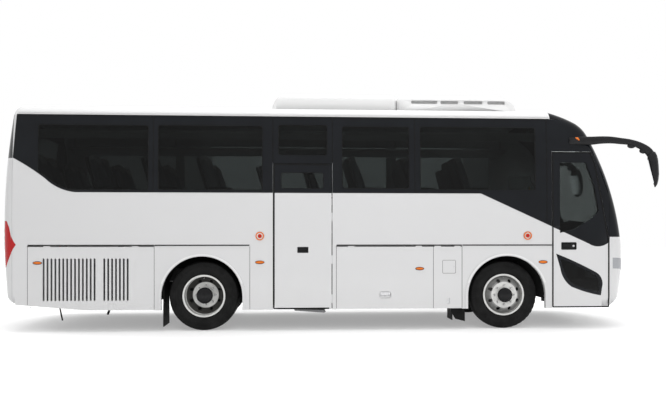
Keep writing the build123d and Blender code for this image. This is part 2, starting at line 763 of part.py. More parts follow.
for name, axle_x, side, tyre_places in wheel_table:
    axis = Axis((axle_x, 0, wheel_radius), (0, 1, 0))
    steered = len(tyre_places) == 1
    disc_y = tyre_places[0] + front_disc_out if steered else sum(tyre_places) / 2
    with BuildPart() as tyres:
        for place in tyre_places:
            u = side * place
            with BuildSketch(across_plane(axle_x)):
                with BuildLine():
                    bead = Line((u - rim_half_width + 4, rim_seat + 1),
                                (u - rim_half_width + 4, rim_seat + 16))
                    wall_low = ThreePointArc(bead @ 1, (u - tyre_half, 385), (u - 100, 462))
                    shoulder = ThreePointArc(wall_low @ 1, (u - 96, 474), (u - 84, 480))
                    tread = ThreePointArc(shoulder @ 1, (u, wheel_radius), (u + 84, 480))
                    far_shoulder = ThreePointArc(tread @ 1, (u + 96, 474), (u + 100, 462))
                    far_wall = ThreePointArc(far_shoulder @ 1, (u + tyre_half, 385),
                                             (u + rim_half_width - 4, rim_seat + 16))
                    Polyline(far_wall @ 1, (u + rim_half_width - 4, rim_seat + 1),
                             (u + rim_half_width - 4 - tyre_wall, rim_seat + 1),
                             (u + tyre_half - tyre_wall, 385), (u + 80, 458), (u - 80, 458),
                             (u - tyre_half + tyre_wall, 385),
                             (u - rim_half_width + 4 + tyre_wall, rim_seat + 1), bead @ 0)
                make_face()
            revolve(axis=axis)
    finish(tyres.part, f"tyre_{name}")

    with BuildPart() as wheel:
        for place in tyre_places:
            disc_side = 1 if disc_y > place else -1
            disc_in = place + disc_side * 40
            for u_low, u_high, r_low, r_high in (
                (place - rim_half_width, place + rim_half_width, rim_seat - rim_wall, rim_seat),
                (place - rim_half_width - 8, place - rim_half_width, rim_seat - rim_wall, rim_radius),
                (place + rim_half_width, place + rim_half_width + 8, rim_seat - rim_wall, rim_radius),
            ):
                with BuildSketch(across_plane(axle_x)):
                    add(ring(side, u_low, u_high, r_low, r_high))
                revolve(axis=axis)
            back = disc_y - disc_side * disc_wall
            with BuildSketch(across_plane(axle_x)):
                with BuildLine():
                    Polyline(
                        (side * disc_y, hub_cap_radius - 20), (side * disc_y, 182),
                        (side * (disc_y - disc_side * 8), 206), (side * (disc_in + disc_side * 18), 256),
                        (side * disc_in, rim_seat - rim_wall + 2),
                        (side * (disc_in - disc_side * disc_wall), rim_seat - rim_wall - 2),
                        (side * (disc_in + disc_side * 4), 250), (side * (disc_y - disc_side * 22), 198),
                        (side * back, 178), (side * back, hub_cap_radius - 20), close=True)
                make_face()
            revolve(axis=axis)
        with BuildSketch(Plane.XZ.offset(-side * (disc_y - 110))):
            with Locations((axle_x, wheel_radius)):
                with PolarLocations(hand_hole_circle, stud_count, 360 / stud_count / 2):
                    Circle(hand_hole_radius)
        extrude(amount=-side * 220, mode=Mode.SUBTRACT)
        spindle = spindle_radius if steered else rear_spindle_radius
        hub_low = king_pin_y + 85 if steered else 655
        hub_high = disc_y + (front_hub_out if steered else rear_hub_out)
        for u_low, u_high, r_low, r_high in (
            (hub_low, hub_high - hub_end, spindle + running, hub_cap_radius - 18),
            (hub_high - hub_end, hub_high, 0, hub_cap_radius - 4),
            (disc_y - 1.5 * disc_wall, hub_high - hub_end, hub_cap_radius - 22, hub_cap_radius),
            (hub_low, hub_low + 10, hub_cap_radius - 22, drum_radius),
            (hub_low, hub_low + 110, drum_radius - 14, drum_radius),
        ):
            with BuildSketch(across_plane(axle_x)):
                add(ring(side, u_low, u_high, r_low, r_high))
            revolve(axis=axis)
        with BuildSketch(Plane.XZ.offset(-side * (disc_y - disc_wall / 2))):
            with Locations((axle_x, wheel_radius)):
                with PolarLocations(stud_circle, stud_count):
                    RegularPolygon(17, 6)
        extrude(amount=-side * 34)
    finish(wheel.part, f"wheel_{name}")

# Steering knuckles: a fork round the beam's end, its king pin and the wheel's spindle
fork_z = (374, 600)
beam_eye_z = (427, 547)
fork_gap = 1
beam_eye_radius = 45
fork_half_x = 52
for side, side_name in ((right, "right"), (left, "left")):
    fork_in = king_pin_y - 45
    web_in = king_pin_y + beam_eye_radius + 5
    web_out = king_pin_y + 78
    with BuildPart() as knuckle:
        fork_x = (front_axle_x - fork_half_x, front_axle_x + fork_half_x)
        for z_range in ((fork_z[0], beam_eye_z[0] - fork_gap), (beam_eye_z[1] + fork_gap, fork_z[1])):
            add(block(fork_x, side_range(side, fork_in, web_out), z_range))
        add(block(fork_x, side_range(side, web_in, web_out), fork_z))
        with BuildSketch(Plane.XY.offset(fork_z[0] - 10)):
            with Locations((front_axle_x, side * king_pin_y)):
                Circle(king_pin_radius)
        extrude(amount=fork_z[1] - fork_z[0] + 20)
        with BuildSketch(Plane.XZ.offset(-side * (web_out - 5))):
            with Locations((front_axle_x, wheel_radius)):
                Circle(spindle_radius)
        extrude(amount=-side * (front_tyre_y + front_disc_out + 40 - web_out))
    finish(knuckle.part, f"knuckle_{side_name}")

# Chassis rails, cross members and the posts that carry the floor
rail_z = (660, 840)
rail_y = (410, 490)
rail_ranges = [(-4380, -1232), (1790, 3060)]
rail_out_y = 490
rail_posts = [-4300, -3180, -2500, -1290, 1850, 2950]
cross_members = [(-4300, 1180), (-3180, 1180), (-2500, rail_out_y), (-1290, rail_out_y), (1850, rail_out_y),
                 (2950, rail_out_y)]
cross_half = 40
jack_pad_places = [1950, -2750]
jack_pad_half = 50
jack_pad_thick = 10
towing_lugs = [(4010, 3950), (-4430, -4370)]
towing_bore_radius = 20
lug_z = (700, 730)
with BuildPart() as chassis:
    for side in (right, left):
        for x_range in rail_ranges:
            add(block(x_range, side_range(side, *rail_y), rail_z))
        for place in jack_pad_places:
            add(block((place - jack_pad_half, place + jack_pad_half), side_range(side, *rail_y),
                      (rail_z[0] - jack_pad_thick, rail_z[0])))
        for place in rail_posts:
            add(block((place - 35, place + 35), side_range(side, *rail_y),
                      (rail_z[1], podium_z - deck_thick)))
    for place, reach in cross_members:
        add(block((place - cross_half, place + cross_half), (-reach, reach),
                  (rail_z[0] + 30, rail_z[1] - 30)))
    add(block((3060, 3960), (rail_y[0], rail_y[1]), rail_z))
    add(block((3060, 3960), (-300, -220), rail_z))
    add(block((3000, 3060), rail_y[::-1], rail_z))
    add(block((3000, 3060), (-rail_y[1], rail_y[0]), rail_z))
    for place_y in (rail_y[0] + 40, -260):
        add(block((3700, 3770), (place_y - 35, place_y + 35), (rail_z[1], cab_floor_z - deck_thick)))
    for lug_x, lug_end in towing_lugs:
        with BuildSketch(Plane.XY.offset(lug_z[0])):
            with Locations((lug_x, sum(rail_y) / 2)):
                Circle((rail_y[1] - rail_y[0]) / 2)
            with Locations(((lug_x + lug_end) / 2, sum(rail_y) / 2)):
                Rectangle(abs(lug_x - lug_end), rail_y[1] - rail_y[0])
            with Locations((lug_x, sum(rail_y) / 2)):
                Circle(towing_bore_radius, mode=Mode.SUBTRACT)
        extrude(amount=lug_z[1] - lug_z[0])
finish(chassis.part, "chassis")

# Front axle: a dropped beam with an eye at each end, carried under the rails by air springs
spring_radius = 95
with BuildPart() as front_axle:
    add(along(outline([(-king_pin_y, 440), (-700, 440), (-560, 350), (560, 350), (700, 440),
                       (king_pin_y, 440),
                       (king_pin_y, 535), (660, 535), (520, 430), (-520, 430), (-660, 535),
                       (-king_pin_y, 535)]),
              front_axle_x - 45, front_axle_x + 45))
    for side in (right, left):
        with BuildSketch(Plane.XY.offset(beam_eye_z[0])):
            with Locations((front_axle_x, side * king_pin_y)):
                Circle(beam_eye_radius)
        extrude(amount=beam_eye_z[1] - beam_eye_z[0])
        with Locations(Plane.XY.offset(beam_eye_z[1])):
            with Locations((front_axle_x, side * king_pin_y)):
                Hole(king_pin_radius + running, depth=beam_eye_z[1] - beam_eye_z[0])
        with BuildSketch(Plane.XY.offset(400)):
            with Locations((front_axle_x, side * (rail_y[0] + rail_y[1]) / 2)):
                Circle(spring_radius)
        extrude(amount=rail_z[0] - 400)
finish(front_axle.part, "front_axle")

# Rear axle: a tube with the final drive in its middle and a spindle at each end
rear_tube_radius = 75
rear_disc_y = rear_tyre_y - twin_spacing / 2
spindle_end_y = rear_disc_y + rear_hub_out - hub_end - rest_gap
with BuildPart() as rear_axle:
    rear_axis = Axis((rear_axle_x, 0, wheel_radius), (0, 1, 0))
    with BuildSketch(across_plane(rear_axle_x)):
        with BuildLine():
            Polyline((-spindle_end_y, 0), (-spindle_end_y, rear_spindle_radius),
                     (-640, rear_spindle_radius),
                     (-640, rear_tube_radius), (-230, rear_tube_radius + 25))
            bulge = ThreePointArc((-230, rear_tube_radius + 25), (0, 235), (230, rear_tube_radius + 25))
            Polyline(bulge @ 1, (640, rear_tube_radius), (640, rear_spindle_radius),
                     (spindle_end_y, rear_spindle_radius), (spindle_end_y, 0), (-spindle_end_y, 0))
        make_face()
    revolve(axis=rear_axis)
    for side in (right, left):
        for offset_x in (-300, 300):
            add(block((rear_axle_x + offset_x - 60, rear_axle_x + offset_x + 60), side_range(side, *rail_y),
                      (wheel_radius - 60, rail_z[0])))
        add(block((rear_axle_x - 360, rear_axle_x + 360), side_range(side, *rail_y),
                  (wheel_radius - 60, wheel_radius + 20)))
finish(rear_axle.part, "rear_axle")

# Wheel housings, seated on the side walls' inner faces
housing_low_z = 430
axle_gap_x = 150
axle_gap_z = rail_z[0]


def wheel_housing(centre_x, side):
    """A half drum over a wheel, closed towards the middle of the coach."""
    with BuildPart(mode=Mode.PRIVATE) as housing:
        add(on_side(circle((centre_x, wheel_radius), housing_radius + housing_wall), side,
                    housing_inner_y, half_width - wall))
        add(on_side(circle((centre_x, wheel_radius), housing_radius), side,
                    housing_inner_y + housing_wall, half_width), mode=Mode.SUBTRACT)
        add(block((centre_x - 800, centre_x + 800), (-1300, 1300), (-300, housing_low_z)),
            mode=Mode.SUBTRACT)
        add(block((centre_x - axle_gap_x, centre_x + axle_gap_x), side_range(side, 400, 700),
                  (0, axle_gap_z)),
            mode=Mode.SUBTRACT)
    return housing.part


with BuildPart() as wheel_housings:
    for centre_x in (front_axle_x, rear_axle_x):
        for side in (right, left):
            add(wheel_housing(centre_x, side))
    for x_range in rail_ranges:
        for side in (right, left):
            add(block(x_range, side_range(side, 400, 520), (rail_z[0] - 10, rail_z[1] + 10)),
                mode=Mode.SUBTRACT)
finish(wheel_housings.part, "wheel_housings")

# Floor: a podium on each side of a sunken aisle, and the driver's lower floor in front
wall_in = half_width - wall
floor_rear_x = -4380
floor_front_x = 3080
stair_y = (-1170, -330)
middle_stair_x = (-890, -90)
front_stair_x = (3096, 3815)
with BuildPart() as floor_deck:
    add(along(outline([(-wall_in, podium_z - deck_thick),
                       (-aisle_half_width - deck_thick, podium_z - deck_thick),
                       (-aisle_half_width - deck_thick, deck_z), (aisle_half_width + deck_thick, deck_z),
                       (aisle_half_width + deck_thick, podium_z - deck_thick),
                       (wall_in, podium_z - deck_thick),
                       (wall_in, podium_z), (aisle_half_width, podium_z),
                       (aisle_half_width, deck_z + deck_thick),
                       (-aisle_half_width, deck_z + deck_thick), (-aisle_half_width, podium_z),
                       (-wall_in, podium_z)]), floor_rear_x, floor_front_x))
    add(block(middle_stair_x, (stair_y[0] - 10, stair_y[1]), (1000, 1500)), mode=Mode.SUBTRACT)
    add(block((floor_front_x - deck_thick, floor_front_x), (-wall_in, wall_in),
              (cab_floor_z, deck_z + deck_thick)))
    add(block((floor_front_x - 1, 3970), (-330, wall_in), (cab_floor_z - deck_thick, cab_floor_z)))
finish(floor_deck.part, "floor_deck")

# Steps: folded treads inside each doorway, and the step folded away under the middle door
tread_depth = 215
front_treads = [380, 660]
middle_treads = [380, 650, 920]
with BuildPart() as entry_steps:
    for x_range, treads, top_z in ((front_stair_x, front_treads, cab_floor_z),
                                   (middle_stair_x, middle_treads, deck_z)):
        run = (stair_y[1] - stair_y[0]) / len(treads)
        for index, tread_z in enumerate(treads):
            y_low = stair_y[0] + index * run
            next_z = treads[index + 1] if index + 1 < len(treads) else top_z - deck_thick
            add(block(x_range, (y_low, y_low + run), (tread_z - sheet, tread_z)))
            add(block(x_range, (y_low + run - sheet, y_low + run), (tread_z - sheet, next_z)))
    folded = [(-602, 284), (-602, 300), (-170, 290), (-157, 262), (-180, 250), (-590, 280)]
    add(across(outline(folded), -1200, -900))
    add(block((-400, -360), (-1100, -1000), (280, 361)))
finish(entry_steps.part, "entry_steps")

# Luggage bay: its floor and bulkheads
bay_x = (-1226, 1783)
well_x = middle_stair_x[0] - rest_gap
well_y = stair_y[1] + rest_gap
with BuildPart() as luggage_bay:
    bay_out = wall_in - rest_gap
    add(block(bay_x, (-bay_out, bay_out), (bay_floor_z - sheet, bay_floor_z)))
    add(block((well_x, middle_stair_x[1] + rest_gap), (-1300, well_y), (200, bay_floor_z + 1)),
        mode=Mode.SUBTRACT)
    for place in (bay_x[0], 1358, bay_x[1] - sheet):
        add(block((place, place + sheet), (-bay_out, bay_out), (bay_floor_z - sheet, deck_z)))
    add(block((-60, -60 + sheet), (-bay_out, bay_out), (bay_floor_z - sheet, deck_z)))
    add(block((well_x - sheet, well_x), (-bay_out, well_y + sheet), (bay_floor_z - sheet, deck_z)))
    add(block((well_x - sheet, -60), (well_y, well_y + sheet), (bay_floor_z - sheet, deck_z)))
finish(luggage_bay.part, "luggage_bay")

# Engine: one plain block at its place, on the rear rails' cross members
with BuildPart() as engine:
    add(block((-4370, -3270), (-400, 400), (460, 690)))
    add(block((-4260, -3220), (-400, 400), (690, 1150)))
    chamfer(engine.edges().filter_by(Axis.Z), 40)
finish(engine.part, "engine")

with BuildPart() as fuel_tank:
    add(block((1400, 1740), (-800, 800), (bay_floor_z + rest_gap, 1020)))
    fillet(fuel_tank.edges().filter_by(Axis.Y), 60)
finish(fuel_tank.part, "fuel_tank")

# Roof units: two air conditioner covers: rear end, front end
unit_half = 900
unit_top = 3380
unit_table = [(-930, 896), (902, 2681)]
unit_vents = [(1109, 1493), (1541, 1803), (1886, 2167), (2240, 2502)]
vent_z = (3268, 3316)
vent_depth = 26
fan_places = [(-560, 400), (0, 400), (560, 400), (-560, -400), (0, -400), (560, -400)]
fan_radius = 190
fan_depth = 40


def roof_cover(x_range, half_y, top_z, corner, edge):
    """A rounded cover seated on the roof."""
    with BuildPart(mode=Mode.PRIVATE) as cover:
        add(block(x_range, (-half_y, half_y), (roof_z - 100, top_z)))
        fillet(cover.edges().filter_by(Axis.Z), corner)
        fillet(cover.faces().sort_by(Axis.Z)[-1].edges(), edge)
        add(outer_form, mode=Mode.SUBTRACT)
    return cover.part


with BuildPart() as ac_unit:
    for x_range in unit_table:
        add(roof_cover(x_range, unit_half, unit_top, 90, 70))
    for x_range in unit_vents:
        for side in (right, left):
            y_range = side_range(side, unit_half - vent_depth, unit_half + 1)
            add(across(rectangle(x_range, vent_z, 16), *y_range), mode=Mode.SUBTRACT)
    for fan_x, fan_y in fan_places:
        with BuildSketch(Plane.XY.offset(unit_top)):
            with Locations((fan_x, fan_y)):
                Circle(fan_radius)
        extrude(amount=-fan_depth, mode=Mode.SUBTRACT)
finish(ac_unit.part, "ac_unit")

with BuildPart() as roof_hatches:
    for hatch_x in (-2700, -1865):
        add(roof_cover((hatch_x - 300, hatch_x + 300), 300, 3235, 60, 12))
finish(roof_hatches.part, "roof_hatches")

# Mirrors: an arm that curves forwards and outwards from the side, and the head that hangs from it
mirror_arm_side = [(3332, 2640), (3332, 2740), (3400, 2768), (3968, 2752), (4265, 2719), (4445, 2645),
                   (4563, 2542),
                   (4640, 2430), (4660, 2300), (4560, 2300), (4500, 2420), (4372, 2598), (4027, 2659),
                   (3803, 2663),
                   (3640, 2640)]
mirror_root_y = side_y(2640) + rest_gap
mirror_arm_plan = [(3300, -mirror_root_y), (3700, -mirror_root_y - 4), (4100, -1250), (4400, -1300),
                   (4700, -1330), (4700, -1440),
                   (4400, -1400), (4100, -1335), (3700, -1288), (3300, -1268)]
mirror_head_side = [(4492, 2420), (4530, 2560), (4600, 2500), (4655, 2380), (4660, 2300), (4652, 2150),
                    (4611, 2042),
                    (4563, 2042), (4534, 2182)]
mirror_head_y = (-1490, -1250)


def mirror_head():
    with BuildPart(mode=Mode.PRIVATE) as head:
        add(across(outline(mirror_head_side), *mirror_head_y))
        fillet(head.edges().filter_by(GeomType.LINE).filter_by(lambda e: abs((e % 0).Y) < 0.5), 12)
    return head.part


for side, side_name in ((right, "right"), (left, "left")):
    with BuildPart() as mirror_unit:
        add(across(outline(mirror_arm_side), -1500, -1150))
        add(upright(outline(mirror_arm_plan), 2200, 2900), mode=Mode.INTERSECT)
        add(mirror_head())
        if side == left:
            mirror(about=Plane.XZ, mode=Mode.REPLACE)
    finish(mirror_unit.part, f"mirror_{side_name}")

# Wipers, lying just off the screen: each has a pivot, an arm and a blade
wiper_gap = 6
wiper_thick = 14
wiper_pivots = [-640, 260]
with BuildSketch(Plane.XY) as wiper_view:
    for pivot_y in wiper_pivots:
        with Locations((pivot_y, 1390)):
            Circle(28)
        with Locations((pivot_y + 170, 1480)):
            Rectangle(400, 22, rotation=28)
        with Locations((pivot_y + 320, 1560)):
            Rectangle(620, 26, rotation=6)


def nose_layer(low, high):
    """What lies between two distances off the nose's face."""
    half_turn = 20
    with BuildPart(mode=Mode.PRIVATE) as layer:
        with BuildSketch(bow_plane(nose_axis_x, -half_turn)):
            add(beyond(nose_profile(), nose_x + far, nose_axis_x, -low))
            add(beyond(nose_profile(), nose_x + far, nose_axis_x, -high), mode=Mode.SUBTRACT)
        revolve(axis=Axis((nose_axis_x, 0, 0), (0, 0, 1)), revolution_arc=2 * half_turn)
    return layer.part


with BuildPart() as wiper_shafts:
    for pivot_y in wiper_pivots:
        add(along(circle((pivot_y, 1390), 16), 3900, 4500))
    add(nose_layer(rest_gap, wiper_gap + wiper_thick), mode=Mode.INTERSECT)

with BuildPart() as wipers:
    add(nose_layer(wiper_gap, wiper_gap + wiper_thick))
    add(along(wiper_view.sketch_local, 3900, 4500), mode=Mode.INTERSECT)
    add(wiper_shafts)
finish(wipers.part, "wipers")

# Lamps and buttons
# The left rear marker sits above the luggage flap, clear of its swing
lamp_proud = 12
marker_places = [(-1084, 964, right), (2952, 960, right), (-1084, 1250, left), (2952, 960, left)]
button_places = [(-1084, 1331, right), (2728, 1337, right)]
with BuildPart() as marker_lamps:
    for place_x, place_z, side in marker_places:
        with BuildSketch(Plane.XZ.offset(-side * (half_width + rest_gap))):
            with Locations((place_x, place_z)):
                Ellipse(62, 20)
        extrude(amount=-side * lamp_proud, taper=30)
    for place_x, place_z, side in button_places:
        with BuildSketch(Plane.XZ.offset(-side * (half_width + rest_gap))):
            with Locations((place_x, place_z)):
                Circle(60)
                Circle(44, mode=Mode.SUBTRACT)
            with Locations((place_x, place_z)):
                Circle(30)
        extrude(amount=-side * lamp_proud)
finish(marker_lamps.part, "marker_lamps")


with BuildPart() as tail_lamps:
    for side in (right, left):
        add(on_side(outline(tail_lamp_side), side, tail_lamp_inner_y))
    add(skin, mode=Mode.INTERSECT)
finish(tail_lamps.part, "tail_lamps")

with BuildPart() as headlamps:
    for side in (right, left):
        add(along(outline([(side * y, z) for y, z in headlamp_front]), headlamp_rear_x, 5000))
    add(skin, mode=Mode.INTERSECT)
finish(headlamps.part, "headlamps")

# Mudflaps behind the wheels, hung from the floor
mudflap_thick = 12
rear_flap_top_z = 690
front_flap_top_z = bay_floor_z - sheet - rest_gap
rear_flap_x = rear_axle_x - sqrt((housing_radius - rest_gap) ** 2 - (rear_flap_top_z - wheel_radius) ** 2)
mudflap_table = [
    (rear_flap_x, 700, 1150, 62, rear_flap_top_z),
    (1650, 850, 1150, 130, front_flap_top_z),
]
with BuildPart() as mudflaps:
    for place_x, y_in, y_out, z_low, z_high in mudflap_table:
        for side in (right, left):
            add(block((place_x, place_x + mudflap_thick), side_range(side, y_in, y_out), (z_low, z_high)))
finish(mudflaps.part, "mudflaps")

# Seats: double seats on the podiums, each a cushion, a back and a pedestal in one outline
seat_pitch = 770
seat_line = [(-150, 330), (-60, 380), (-280, 1070), (-240, 1120), (-150, 1130), (-110, 1090), (60, 480),
             (430, 470),
             (460, 430), (430, 330)]
seat_round = 18
seat_rows = {right: [-4000, -3230, -2460, -1690, 430, 1200, 1970],
             left: [-4000 + seat_pitch * n for n in range(9)]}
with BuildPart() as passenger_seats:
    for side, rows in seat_rows.items():
        for row_x in rows:
            placed = [(row_x + x, podium_z + z) for x, z in seat_line]
            add(across(outline(placed, seat_round), *side_range(side, 260, 1150)))
            add(block((row_x - 100, row_x + 300), side_range(side, 560, 850),
                      (podium_z + rest_gap, podium_z + 340)))
finish(passenger_seats.part, "passenger_seats")

# Driver's place
driver_y = 640
with BuildPart() as driver_seat:
    placed = [(3170 + x, cab_floor_z + z) for x, z in seat_line]
    add(across(outline(placed, seat_round), driver_y - 250, driver_y + 250))
    add(block((3120, 3460), (driver_y - 150, driver_y + 150), (cab_floor_z + rest_gap, cab_floor_z + 340)))
finish(driver_seat.part, "driver_seat")

wheel_tilt = 62
steering_centre = (3640, driver_y, cab_floor_z + 760)
with BuildPart() as dashboard:
    add(across(outline([(3990, cab_floor_z + rest_gap), (3760, cab_floor_z + rest_gap), (3740, 1480),
                        (3820, 1560),
                        (3990, 1500)]), -300, 1170))
    with BuildSketch(Plane(origin=steering_centre, x_dir=(0, 1, 0), z_dir=(-0.47, 0, 0.88))):
        Circle(30)
    extrude(amount=-260)
    with BuildSketch(Plane(origin=steering_centre, x_dir=(0, 1, 0), z_dir=(-0.47, 0, 0.88))):
        Circle(230)
        Circle(205, mode=Mode.SUBTRACT)
        Rectangle(420, 34)
    extrude(amount=24)
finish(dashboard.part, "dashboard")

# Luggage racks above the seats, held on the roof's inner face
rack_x = (-4300, 3000)
rack_wall_z = (2775, 2815)
rack_out = [(side_y(z) - wall - rest_gap, z) for z in rack_wall_z]
rack_line = [(640, 2760), (1120, 2700)] + rack_out + [(1110, 2735), (660, 2792)]
with BuildPart() as luggage_racks:
    for side in (right, left):
        add(along(outline([(side * y, z) for y, z in rack_line]), *rack_x))
        for place in (-4200, -2560, -1000, 1100, 2900):
            add(block((place - 15, place + 15), side_range(side, 700, 730), (2770, 3118)))
finish(luggage_racks.part, "luggage_racks")
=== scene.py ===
import math

import bmesh
import bpy
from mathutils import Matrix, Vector
from mathutils.bvhtree import BVHTree


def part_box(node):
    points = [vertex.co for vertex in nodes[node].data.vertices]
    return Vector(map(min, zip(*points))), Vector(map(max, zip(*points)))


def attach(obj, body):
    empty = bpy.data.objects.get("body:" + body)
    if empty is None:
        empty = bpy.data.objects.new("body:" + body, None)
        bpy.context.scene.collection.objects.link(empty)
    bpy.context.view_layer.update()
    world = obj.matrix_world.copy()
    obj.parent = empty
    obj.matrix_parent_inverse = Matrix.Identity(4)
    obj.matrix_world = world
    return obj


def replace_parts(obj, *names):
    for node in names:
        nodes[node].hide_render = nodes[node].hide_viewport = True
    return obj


# A nine-metre coach dressed for its picture. Metres: X points forward, Y to the left and Z up.
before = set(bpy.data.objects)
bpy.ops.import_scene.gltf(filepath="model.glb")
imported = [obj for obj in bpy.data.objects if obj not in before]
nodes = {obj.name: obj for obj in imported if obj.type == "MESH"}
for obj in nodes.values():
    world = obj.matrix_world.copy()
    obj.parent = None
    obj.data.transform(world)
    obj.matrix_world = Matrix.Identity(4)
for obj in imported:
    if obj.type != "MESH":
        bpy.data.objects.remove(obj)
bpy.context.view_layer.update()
right = -1
left = 1
sides = ((right, "right"), (left, "left"))

# Sizes shared by several pieces
half_width = 1.240
upright_z = 1.700
lean = 0.045
band_low_z = 1.935
band_top_z = 3.010
luggage_line_z = 1.187
end_x = 4.2
roof_z = 3.190
wheel_radius = 0.487
axle_x = {"front": 2.411, "rear": -1.871}
podium_z = 1.370
cab_floor_z = 0.940


# Meshes and placing

def linked(obj):
    """Puts an object into the scene once."""
    if obj.name not in bpy.context.scene.collection.objects:
        bpy.context.scene.collection.objects.link(obj)
    return obj


def mesh_of(name, verts, faces):
    mesh = bpy.data.meshes.new(name)
    mesh.from_pydata([tuple(v) for v in verts], [], faces)
    return mesh


def cleaned(mesh, outwards=True):
    """Welds a mesh's doubled points and, where asked, turns its faces outwards."""
    work = bmesh.new()
    work.from_mesh(mesh)
    bmesh.ops.remove_doubles(work, verts=work.verts, dist=1e-6)
    if outwards:
        bmesh.ops.recalc_face_normals(work, faces=work.faces)
    work.to_mesh(mesh)
    work.free()
    return mesh


def keep(obj, material, body, slot=None, smooth=35):
    """Gives a piece its finish, smooths it up to an angle and lets it ride on a body."""
    linked(obj)
    obj.data.materials.clear()
    obj.data.materials.append(material)
    obj.data.shade_smooth()
    obj.data.set_sharp_from_angle(angle=math.radians(smooth))
    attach(obj, body)
    slot or slot_of[material]
    return obj


def piece(name, material, body, *shapes, slot=None, smooth=35):
    """A finished piece made of one or more closed forms."""
    mesh = cleaned(mesh_of(name, *joined(shapes)))
    return keep(bpy.data.objects.new(name, mesh), material, body, slot, smooth)


def joined(shapes):
    """One list of points and one of faces from several."""
    verts = []
    faces = []
    for some_verts, some_faces in shapes:
        base = len(verts)
        verts.extend(some_verts)
        faces.extend([base + i for i in face] for face in some_faces)
    return verts, faces


def skin(rows, closed=False):
    """A form through rings of points, closed into a loop or capped at both ends."""
    count = len(rows[0])
    verts = [v for row in rows for v in row]
    faces = []
    for r in range(len(rows) if closed else len(rows) - 1):
        here = r * count
        there = (r + 1) % len(rows) * count
        faces += [[here + i, there + i, there + (i + 1) % count, here + (i + 1) % count]
                  for i in range(count)]
    if not closed:
        faces += [list(range(count))[::-1], list(range(len(verts) - count, len(verts)))]
    return verts, faces


def turns(count):
    """Angles spread evenly round a circle."""
    return [2 * math.pi * i / count for i in range(count)]


def oval(centre, half_wide, half_high, count=36):
    return [(centre[0] + half_wide * math.cos(a), centre[1] + half_high * math.sin(a))
            for a in turns(count)]


def disc(centre, radius, count=28):
    return oval(centre, radius, radius, count)


def rounded(corners, radius, steps=5):
    """A closed outline with its corners rounded."""
    points = []
    count = len(corners)
    for i, corner in enumerate(corners):
        here = Vector(corner)
        before = Vector(corners[i - 1]) - here
        after = Vector(corners[(i + 1) % count]) - here
        turn = before.angle(after)
        back = min(radius / math.tan(turn / 2), before.length * 0.49, after.length * 0.49)
        arc = back * math.tan(turn / 2)
        start = here + before.normalized() * back
        end = here + after.normalized() * back
        inwards = (before.normalized() + after.normalized()).normalized()
        centre = here + inwards * (arc / math.sin(turn / 2))
        for step in range(steps + 1):
            out = start.lerp(end, step / steps) - centre
            points.append(centre + out.normalized() * arc)
    return points


def box_outline(u_low, u_high, v_low, v_high, radius=0.03):
    return rounded([(u_low, v_low), (u_high, v_low), (u_high, v_high), (u_low, v_high)], radius)


def refined(points, step, closed=True):
    """An outline with points added so that none are further apart than step."""
    result = []
    count = len(points)
    for i in range(count if closed else count - 1):
        a = Vector(points[i])
        b = Vector(points[(i + 1) % count])
        parts = max(1, math.ceil((b - a).length / step))
        result.extend(a.lerp(b, k / parts) for k in range(parts))
    if not closed:
        result.append(Vector(points[-1]))
    return result


def run_at(points, i, closed=True):
    """The direction of a line at one of its points."""
    before = points[i - 1] if closed or i else points[i]
    after = points[(i + 1) % len(points)] if closed or i < len(points) - 1 else points[i]
    return (Vector(after) - Vector(before)).normalized()


def inset(outline, amount):
    """An outline drawn in by amount; it runs anticlockwise."""
    result = []
    for i, point in enumerate(outline):
        run = run_at(outline, i)
        result.append(Vector(point) + Vector((-run.y, run.x)) * amount)
    return result


# The body's outer panels, for finding the place of trim on them
hull_starts = ("side_", "front_", "middle_door", "rear_panel", "rear_glass", "roof", "windscreen",
               "engine_lid", "headlamps", "tail_lamps")
off_hull = ("front_door_arms", "front_axle", "roof_hatches")
hull_nodes = [n for n in nodes if n.startswith(hull_starts) and n not in off_hull or "_flap_" in n]
tree = BVHTree.FromPolygons(*joined(
    ([v.co.copy() for v in nodes[n].data.vertices], [list(p.vertices) for p in nodes[n].data.polygons])
    for n in hull_nodes))


def side_y(z):
    """The half width of the body's side at a height, from the body's own form."""
    rise = max(z - upright_z, 0)
    lean_radius = ((band_top_z - upright_z) ** 2 + lean ** 2) / (2 * lean)
    return half_width - lean_radius + math.sqrt(lean_radius ** 2 - rise ** 2)


def on_flat(side, base=0.0):
    """Places a side view point (x, z) on the plain form of the side, whatever gap is there."""
    def place(point, lift=0.0):
        x, z = point
        return Vector((x, side * (side_y(z) + base + lift), z))
    return place


def on_end(facing):
    """Places a front view point (y, z) on the nose (facing 1) or on the tail (facing -1)."""
    def place(point, lift=0.0):
        y, z = point
        hit = tree.ray_cast(Vector((facing * 8, y, z)), Vector((-facing, 0, 0)))[0]
        x = hit.x if hit is not None else facing * end_x
        return Vector((x + facing * lift, y, z))
    return place


def on_roof(point, lift=0.0):
    """Places a plan view point (x, y) on the roof."""
    x, y = point
    hit = tree.ray_cast(Vector((x, y, 5)), Vector((0, 0, -1)))[0]
    return Vector((x, y, (hit.z if hit is not None else roof_z) + lift))


def on_level(z):
    """Places a plan view point (x, y) at a height."""
    return lambda point, lift=0.0: Vector((point[0], point[1], z + lift))


def bead(outline, width, height, place, closed=True, step=None, sink=0.002, slope=0.08):
    """A raised strip along an outline on the body."""
    points = refined(outline, step, closed) if step else outline
    rows = []
    for i, point in enumerate(points):
        run = run_at(points, i, closed)
        normal = Vector((-run.y, run.x)) * width
        rows.append([place(Vector(point) + normal * shift, lift) for shift, lift in
                     ((-0.5, -sink), (-0.5 + slope, height), (0.5 - slope, height), (0.5, -sink))])
    return skin(rows, closed)


def shell(rows, place):
    """A form through several outlines at their own lifts."""
    return skin([[place(p, lift) for p in outline] for outline, lift in rows])


